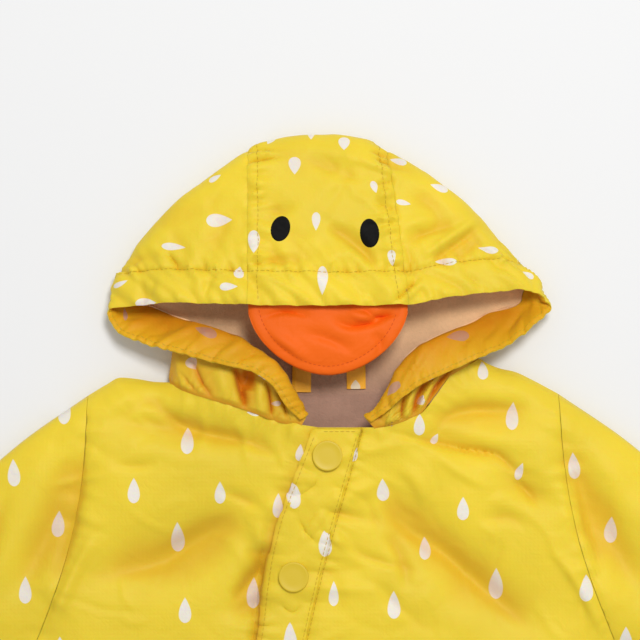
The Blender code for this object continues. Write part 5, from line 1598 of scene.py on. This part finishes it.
@dataclass
class Bill:
    """The half-round bill under the brim, two layers turned out and topstitched."""

    wardrobe: Wardrobe
    left: float = -42.0
    right: float = 45.2
    top: float = 67.6
    tip: float = 28.6
    root: float = 29.6
    low: float = 27.5
    wall: float = 2.0
    power: float = 1.8  # 2 is a half ellipse
    crease_gain: float = 2.4
    stitch_in: float = 5.0  # the topstitch's distance from the edge
    stitch_dip: float = 0.35
    across: int = 60
    down: int = 34

    def surface(self, u: Array, v: Array) -> Array:
        """Points of the middle of the bill at shares across (-1 to 1) and down (0 to 1)."""
        centre, half = (self.right + self.left) / 2, (self.right - self.left) / 2
        deep = self.top - self.tip
        edge = np.clip(1.0 - np.abs(0.985 * u) ** self.power, 0.0, 1.0) ** (1.0 / self.power)
        x = centre + half * u
        y = self.top - deep * v * edge
        fall = (self.top - y) / deep
        z = self.root - 2.0 * u * u + (self.low - self.root) * fall + 2.2 * np.sin(math.pi * fall)
        plan = np.stack([x, y], axis=-1).reshape(-1, 2)
        for crease in self.creases():
            z = z + self.crease_gain * crease.height(plan).reshape(z.shape)
        return np.stack([x, y, z], axis=-1)

    @staticmethod
    def creases() -> list[Crease]:
        """The bill's soft creases."""
        return creases(
            (2.4, -1, -34, 60, -22, 63, -8, 61), (3, -1.5, 4, 59, 14, 55, 26, 57, 38, 63),
            (2, -1.1, 20, 64.5, 28, 60.5, 38, 61), (2.2, 0.9, 12, 63, 22, 60, 30, 64),
            (3.5, 0.9, -30, 52, -20, 45, -10, 37), (4, -0.9, -12, 52, 2, 48, 16, 41),
            (3, -0.8, 26, 52, 30, 45, 28, 38),
        )

    def build(self) -> bpy.types.Object:
        """Builds and dresses the bill."""
        u = np.linspace(-1.0, 1.0, self.across + 1)
        v = np.linspace(0.0, 1.0, self.down + 1)
        sheet = ClothSheet()
        grid = self.surface(u[None, :] * np.ones((self.down + 1, 1)), v[:, None] * np.ones((1, self.across + 1)))
        sheet.add_grid(grid, "bill")
        sheet.weld()
        deep = self.top - self.tip
        centre, half = (self.right + self.left) / 2, (self.right - self.left) / 2
        aside, fall = np.abs(sheet.points[:, 0] - centre) / half, (self.top - sheet.points[:, 1]) / deep
        radius = (aside**self.power + np.clip(fall, 0.0, None) ** self.power) ** (1.0 / self.power)
        from_edge = np.clip((1.0 - radius) * deep, 0.0, None)
        stitched = self.stitch_dip * bell(from_edge - self.stitch_in, 0.9)
        top = 0.15 + (self.wall / 2 - 0.15) * rounded(from_edge, 2.2) - stitched
        everything = np.ones(len(sheet.faces), bool)
        item = Wall(sheet, everything, top, -top, 0.0).build("bill_cloth")
        self.wardrobe.dress(item, BILL_CLOTH, Slot.BILL, "bill")
        return item

    def stitch_line(self) -> Array:
        """The topstitch inside the edge, on the bill's upper side."""
        deep = self.top - self.tip
        angle = np.linspace(math.radians(6.0), math.radians(174.0), 120)
        share = 1.0 - self.stitch_in / deep
        round_x = np.sign(np.cos(angle)) * np.abs(np.cos(angle)) ** (2.0 / self.power)
        u = -round_x * share
        edge = np.clip(1.0 - np.abs(0.985 * u) ** self.power, 0.0, 1.0) ** (1.0 / self.power)
        v = np.clip(np.sin(angle) ** (2.0 / self.power) * share / edge, 0.0, 1.0)
        return self.surface(u, v) + np.array([0.0, 0.0, self.wall / 2 - self.stitch_dip])


@dataclass
class Caps:
    """The press-stud caps down the flap."""

    wardrobe: Wardrobe
    flap: bpy.types.Object
    diameter: float = 16.5
    rim: float = 2.4
    edge_round: float = 0.4
    dish: tuple[Point2, ...] = ((1.1, 0.0), (0.5, -0.12), (2.8, 0.05))  # insets of the top: width, rise
    first: float = -15.6
    pitch: float = 66.6
    count: int = 7

    def pattern(self) -> bpy.types.Mesh:
        """Models one cap at the origin: a turned disc with a rounded shoulder and a shallow dish."""
        for other in bpy.context.selected_objects:
            other.select_set(False)
        bpy.ops.mesh.primitive_cylinder_add(vertices=64, radius=self.diameter / 2 * MM, depth=self.rim * MM,
                                            location=(0.0, 0.0, self.rim / 2 * MM))
        item = bpy.context.object
        bpy.ops.object.transform_apply(location=True, rotation=True, scale=True)
        bpy.ops.object.mode_set(mode="EDIT")
        bpy.ops.mesh.select_all(action="DESELECT")
        shape = bmesh.from_edit_mesh(item.data)
        for face in shape.faces:
            face.select_set(face.normal.z > 0.9)
        bmesh.update_edit_mesh(item.data)
        for thickness, depth in self.dish:
            bpy.ops.mesh.inset(thickness=thickness * MM, depth=depth * MM)
        bpy.ops.object.mode_set(mode="OBJECT")
        bevel = item.modifiers.new("edge", "BEVEL")
        bevel.width = self.edge_round * MM
        bevel.segments = 4
        bevel.limit_method = "ANGLE"
        bevel.angle_limit = math.radians(50.0)
        bpy.ops.object.modifier_apply(modifier="edge")
        item.data.shade_smooth()
        item.data.set_sharp_from_angle(angle=math.radians(40.0))
        mesh = item.data.copy()
        bpy.data.objects.remove(item, do_unlink=True)
        return mesh

    def seat(self, x: float, y: float) -> tuple[float, Vector]:
        """Height and slope of the flap's upper side under a cap."""
        found = []
        radius = self.diameter / 2
        for step in range(13):
            angle, reach = 2 * math.pi * step / 12, 0.0 if step == 12 else radius
            dx, dy = reach * math.cos(angle), reach * math.sin(angle)
            start = Vector(((x + dx) * MM, (y + dy) * MM, 1.0))
            hit, place, _, _ = self.flap.ray_cast(start, Vector((0.0, 0.0, -1.0)))
            if hit:
                found.append((dx, dy, place.z / MM))
        data = np.array(found)
        terms = np.column_stack([data[:, 0], data[:, 1], np.ones(len(data))])
        (slope_x, slope_y, level), *_ = np.linalg.lstsq(terms, data[:, 2], rcond=None)
        return level, Vector((-slope_x, -slope_y, 1.0)).normalized()

    def build(self) -> list[bpy.types.Object]:
        """Builds and dresses the caps."""
        pattern = self.pattern()
        made = []
        for number in range(self.count):
            y = self.first - number * self.pitch
            x = float(x_at(OPENING, y)[0])
            level, normal = self.seat(x, y)
            mesh = pattern.copy()
            turn = normal.to_track_quat("Z", "Y").to_matrix().to_4x4()
            mesh.transform(Matrix.Translation(Vector((x, y, level - 0.1)) * MM) @ turn)
            item = linked(bpy.data.objects.new(f"snap_cap_{number + 1}", mesh))
            made.append(self.wardrobe.dress(item, CAP_PLASTIC, Slot.SNAP, f"snap_{number + 1}"))
        bpy.data.meshes.remove(pattern)
        return made


@dataclass
class Eyes:
    """The two pressed ovals on the hood's centre strip."""

    wardrobe: Wardrobe
    cloth: bpy.types.Object
    wall: float = 0.5
    rings: int = 14
    sides: int = 48

    def build(self) -> list[bpy.types.Object]:
        """Builds and dresses the eyes, each laid on the cloth's own folds."""
        made = []
        table = (("eye_left", -24.4, 108.9, 10.5, 14.2, -15.0), ("eye_right", 24.4, 106.4, 10.6, 15.9, 4.0))
        for name, x, y, wide, high, lean in table:
            made.append(self.oval(name, x, y, wide, high, math.radians(lean)))
        return made

    def oval(self, name: str, x: float, y: float, wide: float, high: float, turn: float) -> bpy.types.Object:
        """One oval patch that follows the cloth, with a rounded edge.

        Args:
            name: The CAD node that it stands for.
            x: Middle.
            y: Middle.
            wide: Width.
            high: Height.
            turn: Lean in radians.

        Returns:
            The piece.
        """
        vertices, faces = [], []
        for layer in (0, 1):
            for ring in range(self.rings + 1):
                share = ring / self.rings
                for side in range(self.sides):
                    angle = 2 * math.pi * side / self.sides
                    a, b = share * wide / 2 * math.cos(angle), share * high / 2 * math.sin(angle)
                    px, py = x + a * math.cos(turn) - b * math.sin(turn), y + a * math.sin(turn) + b * math.cos(turn)
                    hit, place, _, _ = self.cloth.ray_cast(Vector((px * MM, py * MM, 1.0)), Vector((0, 0, -1)))
                    base = place.z / MM if hit else 16.0
                    thick = self.wall * math.sqrt(max(0.0, 1.0 - share**8)) if layer == 0 else -0.15
                    vertices.append((px, py, base + thick))
        per = (self.rings + 1) * self.sides
        for ring in range(self.rings):
            for side in range(self.sides):
                after = (side + 1) % self.sides
                a, b = ring * self.sides + side, ring * self.sides + after
                c, d = a + self.sides, b + self.sides
                faces.append([a, c, d, b])
                faces.append([per + a, per + b, per + d, per + c])
        last = self.rings * self.sides
        for side in range(self.sides):
            after = (side + 1) % self.sides
            faces.append([last + side, per + last + side, per + last + after, last + after])
        item = mesh_object(f"{name}_patch", np.array(vertices), faces)
        shape = bmesh.new()
        shape.from_mesh(item.data)
        bmesh.ops.remove_doubles(shape, verts=shape.verts, dist=1e-6)
        bmesh.ops.dissolve_degenerate(shape, edges=shape.edges, dist=1e-7)
        bmesh.ops.recalc_face_normals(shape, faces=shape.faces)
        shape.to_mesh(item.data)
        shape.free()
        return self.wardrobe.dress(item, EYE_PATCH, Slot.EYE, name)


@dataclass
class HangerLoop:
    """The self-cloth loop at the back neck."""

    wardrobe: Wardrobe
    width: float = 10.5
    wall: float = 1.2
    base: float = 3.5

    def build(self) -> bpy.types.Object:
        """Builds and dresses the loop."""
        corners = [(-13.0, 18.8), (-12.8, 33.0), (-6.0, 45.5), (3.0, 48.5), (12.0, 45.5), (17.2, 34.0), (17.4, 20.6)]
        path = evenly(smooth_line(corners), 70)
        run = np.gradient(path, axis=0)
        run /= np.linalg.norm(run, axis=1)[:, None]
        aside = np.stack([-run[:, 1], run[:, 0]], axis=1)
        arch = np.sin(np.linspace(0.0, math.pi, len(path))) * 1.6
        shares = np.linspace(1.0, -1.0, 9)
        rows = np.array([path + aside * self.width / 2 * share for share in shares])
        heights = np.broadcast_to((self.base + arch)[None, :, None], rows.shape[:2] + (1,))
        sheet = ClothSheet()
        sheet.add_grid(np.concatenate([rows, heights], axis=2), "loop")
        everything = np.ones(len(sheet.faces), bool)
        uv = DropPrint().coordinates(sheet.flat, [(17.0, 22.6, 90, 5.6, 6.4), (-60.0, 60.0, 90, 4.0, 4.0)])
        from_edge = np.abs(np.abs(np.repeat(shares, len(path))) - 1.0) * self.width / 2
        top = 0.1 + (self.wall / 2 - 0.1) * rounded(from_edge, 1.4)
        item = Wall(sheet, everything, top, -top, 0.0).build("hanger_loop_cloth", uv)
        self.wardrobe.dress(item, LOOP_CLOTH, Slot.CLOTH, "hanger_loop")
        return item


@dataclass
class Stitching:
    """Rows of lockstitch, each stitch a short thread that dips into the cloth at both ends."""

    wardrobe: Wardrobe
    pitch: float = 3.0
    long: float = 2.35
    wide: float = 0.36
    proud: float = 0.2
    sides: int = 5
    vertices: list[Array] = field(default_factory=list)
    faces: list[list[int]] = field(default_factory=list)

    def follow(self, path: Array, normals: Array | None = None) -> None:
        """Sews a row along a path.

        Args:
            path: Points on the cloth.
            normals: Directions out of the cloth, or None for straight up.
        """
        if normals is None:
            normals = np.tile([0.0, 0.0, 1.0], (len(path), 1))
        both = np.hstack([path, normals])
        length = lengths_along(path)
        count = int(length[-1] // self.pitch)
        spans = np.array([-0.5, -0.2, 0.2, 0.5])
        lifts = np.array([-0.25, 1.0, 1.0, -0.25]) * self.proud
        thicks = np.array([0.55, 1.0, 1.0, 0.55]) * self.wide / 2
        for number in range(count):
            middle = (number + 0.5) * self.pitch
            at = middle + spans * self.long
            found = np.stack([np.interp(at, length, both[:, axis]) for axis in range(6)], axis=1)
            run = found[-1, :3] - found[0, :3]
            run /= max(np.linalg.norm(run), 1e-9)
            up = found[:, 3:].mean(axis=0)
            up = up - run * (up @ run)
            up /= max(np.linalg.norm(up), 1e-9)
            side = np.cross(run, up)
            base = len(self.vertices) * len(spans) * self.sides
            rings = []
            for place, lift, thick in zip(found[:, :3], lifts, thicks):
                angles = np.arange(self.sides) * 2 * math.pi / self.sides
                turn = np.cos(angles)[:, None] * side + np.sin(angles)[:, None] * up * 0.8
                rings.append(place + up * lift + turn * thick)
            self.vertices.append(np.vstack(rings))
            for ring in range(len(rings) - 1):
                for step in range(self.sides):
                    after = (step + 1) % self.sides
                    a, b = base + ring * self.sides, base + (ring + 1) * self.sides
                    self.faces.append([a + step, b + step, b + after, a + after])
            last = base + (len(rings) - 1) * self.sides
            self.faces.append([base + step for step in range(self.sides)])
            self.faces.append([last + step for step in reversed(range(self.sides))])

    def drape(self, plan: Array, cloth: Sequence[bpy.types.Object], lift: float = 0.0) -> None:
        """Sews a row whose plan is known, on the upper side of some pieces."""
        points, normals = [], []
        for x, y in evenly(plan, max(8, int(lengths_along(np.asarray(plan, float))[-1]))):
            best = None
            for item in cloth:
                hit, place, normal, _ = item.ray_cast(Vector((x * MM, y * MM, 1.0)), Vector((0.0, 0.0, -1.0)))
                if hit and (best is None or place.z > best[0].z):
                    best = (place, normal)
            if best:
                points.append([x, y, best[0].z / MM + lift])
                normals.append(list(best[1]))
        if len(points) > 3:
            self.follow(np.array(points), np.array(normals))

    def finish(self, name: str, finish: Finish, slot: Slot) -> bpy.types.Object:
        """Joins the rows into one piece and dresses it."""
        item = mesh_object(name, np.vstack(self.vertices), self.faces)
        return self.wardrobe.dress(item, finish, slot)


def sew_body(wardrobe: Wardrobe, body: Body, pieces: dict[str, bpy.types.Object]) -> None:
    """Adds the stitching of the flap, the cuffs and the leg ends.

    Args:
        wardrobe: The finishes.
        body: The body's sizes.
        pieces: The body's pieces by name.
    """
    rows = Stitching(wardrobe)
    heights = np.linspace(0.0, body.flap_end + 2.0, 240)
    line = np.stack([x_at(OPENING, heights), heights], axis=1)
    flap, front = [pieces["storm_flap"]], [pieces["front_right"], pieces["front_left"]]
    reach = np.stack([body.flap_edge(heights) - 2.2, np.zeros(len(heights))], axis=1)
    rows.drape((line - reach)[3:], flap)
    rows.drape(line[3:] + [body.flap_right - 1.0, 0.0], flap)
    rows.drape(line + [body.flap_right + 1.7, 0.0], front)
    rows.drape(np.array([(line[0, 0] - 6.6, -2.3), (line[0, 0] + 11.5, -2.3)]), flap)
    limbs = [pieces[name] for name in ("sleeve_left", "sleeve_right", "front_left", "front_right")]
    for side in (LEFT_SIDE, RIGHT_SIDE):
        for names in (("cuff_top", "cuff_bottom", "shoulder_tip"), ("hem_out", "hem_in", "underarm")):
            start, end, inwards = (np.array(side[name], float) for name in names)
            across = (end - start) / np.linalg.norm(end - start)
            way = np.array([-across[1], across[0]])
            way = way if way @ (inwards - start) > 0 else -way
            shares = np.linspace(0.06, 0.94, 40)[:, None]
            rows.drape(start + (end - start) * shares + way * body.hem_depth, limbs)
    rows.finish("body_stitching", THREAD, Slot.CLOTH)


def sew_hood(wardrobe: Wardrobe, hood: Hood) -> None:
    """Adds the stitching of the hood's front hem, its lips and its two seams."""
    rows = Stitching(wardrobe)
    hem, outside, inside = hood.hem_width, hood.outer, hood.facing_wall[1]
    last = len(HOOD)
    levels = (
        (hem, CORNER_LEFT + 0.7, CORNER_RIGHT - 0.7, outside), (hem, 0.4, CHIN_LEFT - 0.5, outside),
        (hem, CHIN_RIGHT + 0.5, last - 1.4, outside), (hood.lip_stitch, 0.2, CORNER_LEFT + 0.5, inside),
        (hood.lip_stitch, CORNER_RIGHT - 0.5, last - 1.2, inside),
    )
    for level in levels:
        rows.follow(*hood.edge_row(*level))
    for seam, sign in ((CENTRE_LEFT, 1.0), (CENTRE_RIGHT, -1.0)):
        rows.follow(*hood.seam_row(seam, sign))
    rows.finish("hood_stitching", THREAD, Slot.CLOTH)


def sew_bill(wardrobe: Wardrobe, bill: Bill) -> None:
    """Adds the bill's topstitch."""
    rows = Stitching(wardrobe, pitch=2.6, long=2.0)
    rows.follow(bill.stitch_line())
    rows.finish("bill_stitching", BILL_THREAD, Slot.BILL)


@dataclass
class Studio:
    """Floor, light and camera."""

    centre: Point2 = (-2.75, 58.85)
    frame_width: float = 352.0
    distance: float = 1600.0
    level: float = 20.0
    sensor: float = 36.0
    floor_colour: str = "#e6e6e6"
    floor_reach: float = 6.0  # metres from the middle to each edge
    floor_drop: float = 0.3
    lamp_place: Point3 = (0.35, 0.85, 2.1)  # metres
    lamp_size: float = 0.6
    lamp_power: float = 34.0
    sky: float = 0.52  # strength of the even light from all round

    def build(self) -> None:
        """Sets the camera over the suit, lays the floor and hangs the lights."""
        data = bpy.data.cameras.new("camera")
        data.sensor_width = self.sensor
        data.lens = self.sensor * self.distance / self.frame_width
        camera = linked(bpy.data.objects.new("camera", data))
        camera.location = Vector((*self.centre, self.distance + self.level)) * MM
        bpy.context.scene.camera = camera

        reach = self.floor_reach
        mesh = bpy.data.meshes.new("floor")
        mesh.from_pydata([(-reach, -reach, 0.0), (reach, -reach, 0.0), (reach, reach, 0.0), (-reach, reach, 0.0)], [],
                         [(0, 1, 2, 3)])
        floor = linked(bpy.data.objects.new("floor", mesh))
        floor.location.z = -self.floor_drop * MM
        finish = Finish("pale_floor", self.floor_colour, 0.9, specular=0.1)
        made, _, _ = finish.start()
        mesh.materials.append(made)

        self.light("top_softbox")
        world = bpy.data.worlds.new("studio")
        world.use_nodes = True
        sky = world.node_tree.nodes["Background"]
        sky.inputs["Color"].default_value = (1.0, 1.0, 1.0, 1.0)
        sky.inputs["Strength"].default_value = self.sky
        bpy.context.scene.world = world
        bpy.context.scene.view_settings.view_transform = "Standard"

    def light(self, name: str) -> None:
        """Adds one soft lamp that faces the middle of the suit."""
        data = bpy.data.lights.new(name, "AREA")
        data.shape = "SQUARE"
        data.size = self.lamp_size
        data.energy = self.lamp_power
        lamp = linked(bpy.data.objects.new(name, data))
        lamp.location = self.lamp_place
        aim = -Vector(self.lamp_place)
        lamp.rotation_euler = aim.to_track_quat("-Z", "Y").to_euler()


def main() -> None:
    """Builds the scene."""
    logging.basicConfig(level=logging.INFO, format="%(name)s: %(message)s")
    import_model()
    Studio().build()
    wardrobe = Wardrobe()
    body = Body(wardrobe)
    body_pieces = body.build()
    hood = Hood(wardrobe, body)
    hood_pieces = hood.build()
    bill = Bill(wardrobe)
    bill.build()
    bpy.context.view_layer.update()
    Caps(wardrobe, body_pieces["storm_flap"]).build()
    Eyes(wardrobe, hood_pieces["hood_centre"]).build()
    HangerLoop(wardrobe).build()
    sew_body(wardrobe, body, body_pieces)
    sew_hood(wardrobe, hood)
    sew_bill(wardrobe, bill)
    bpy.context.view_layer.update()


if __name__ == "__main__":
    main()
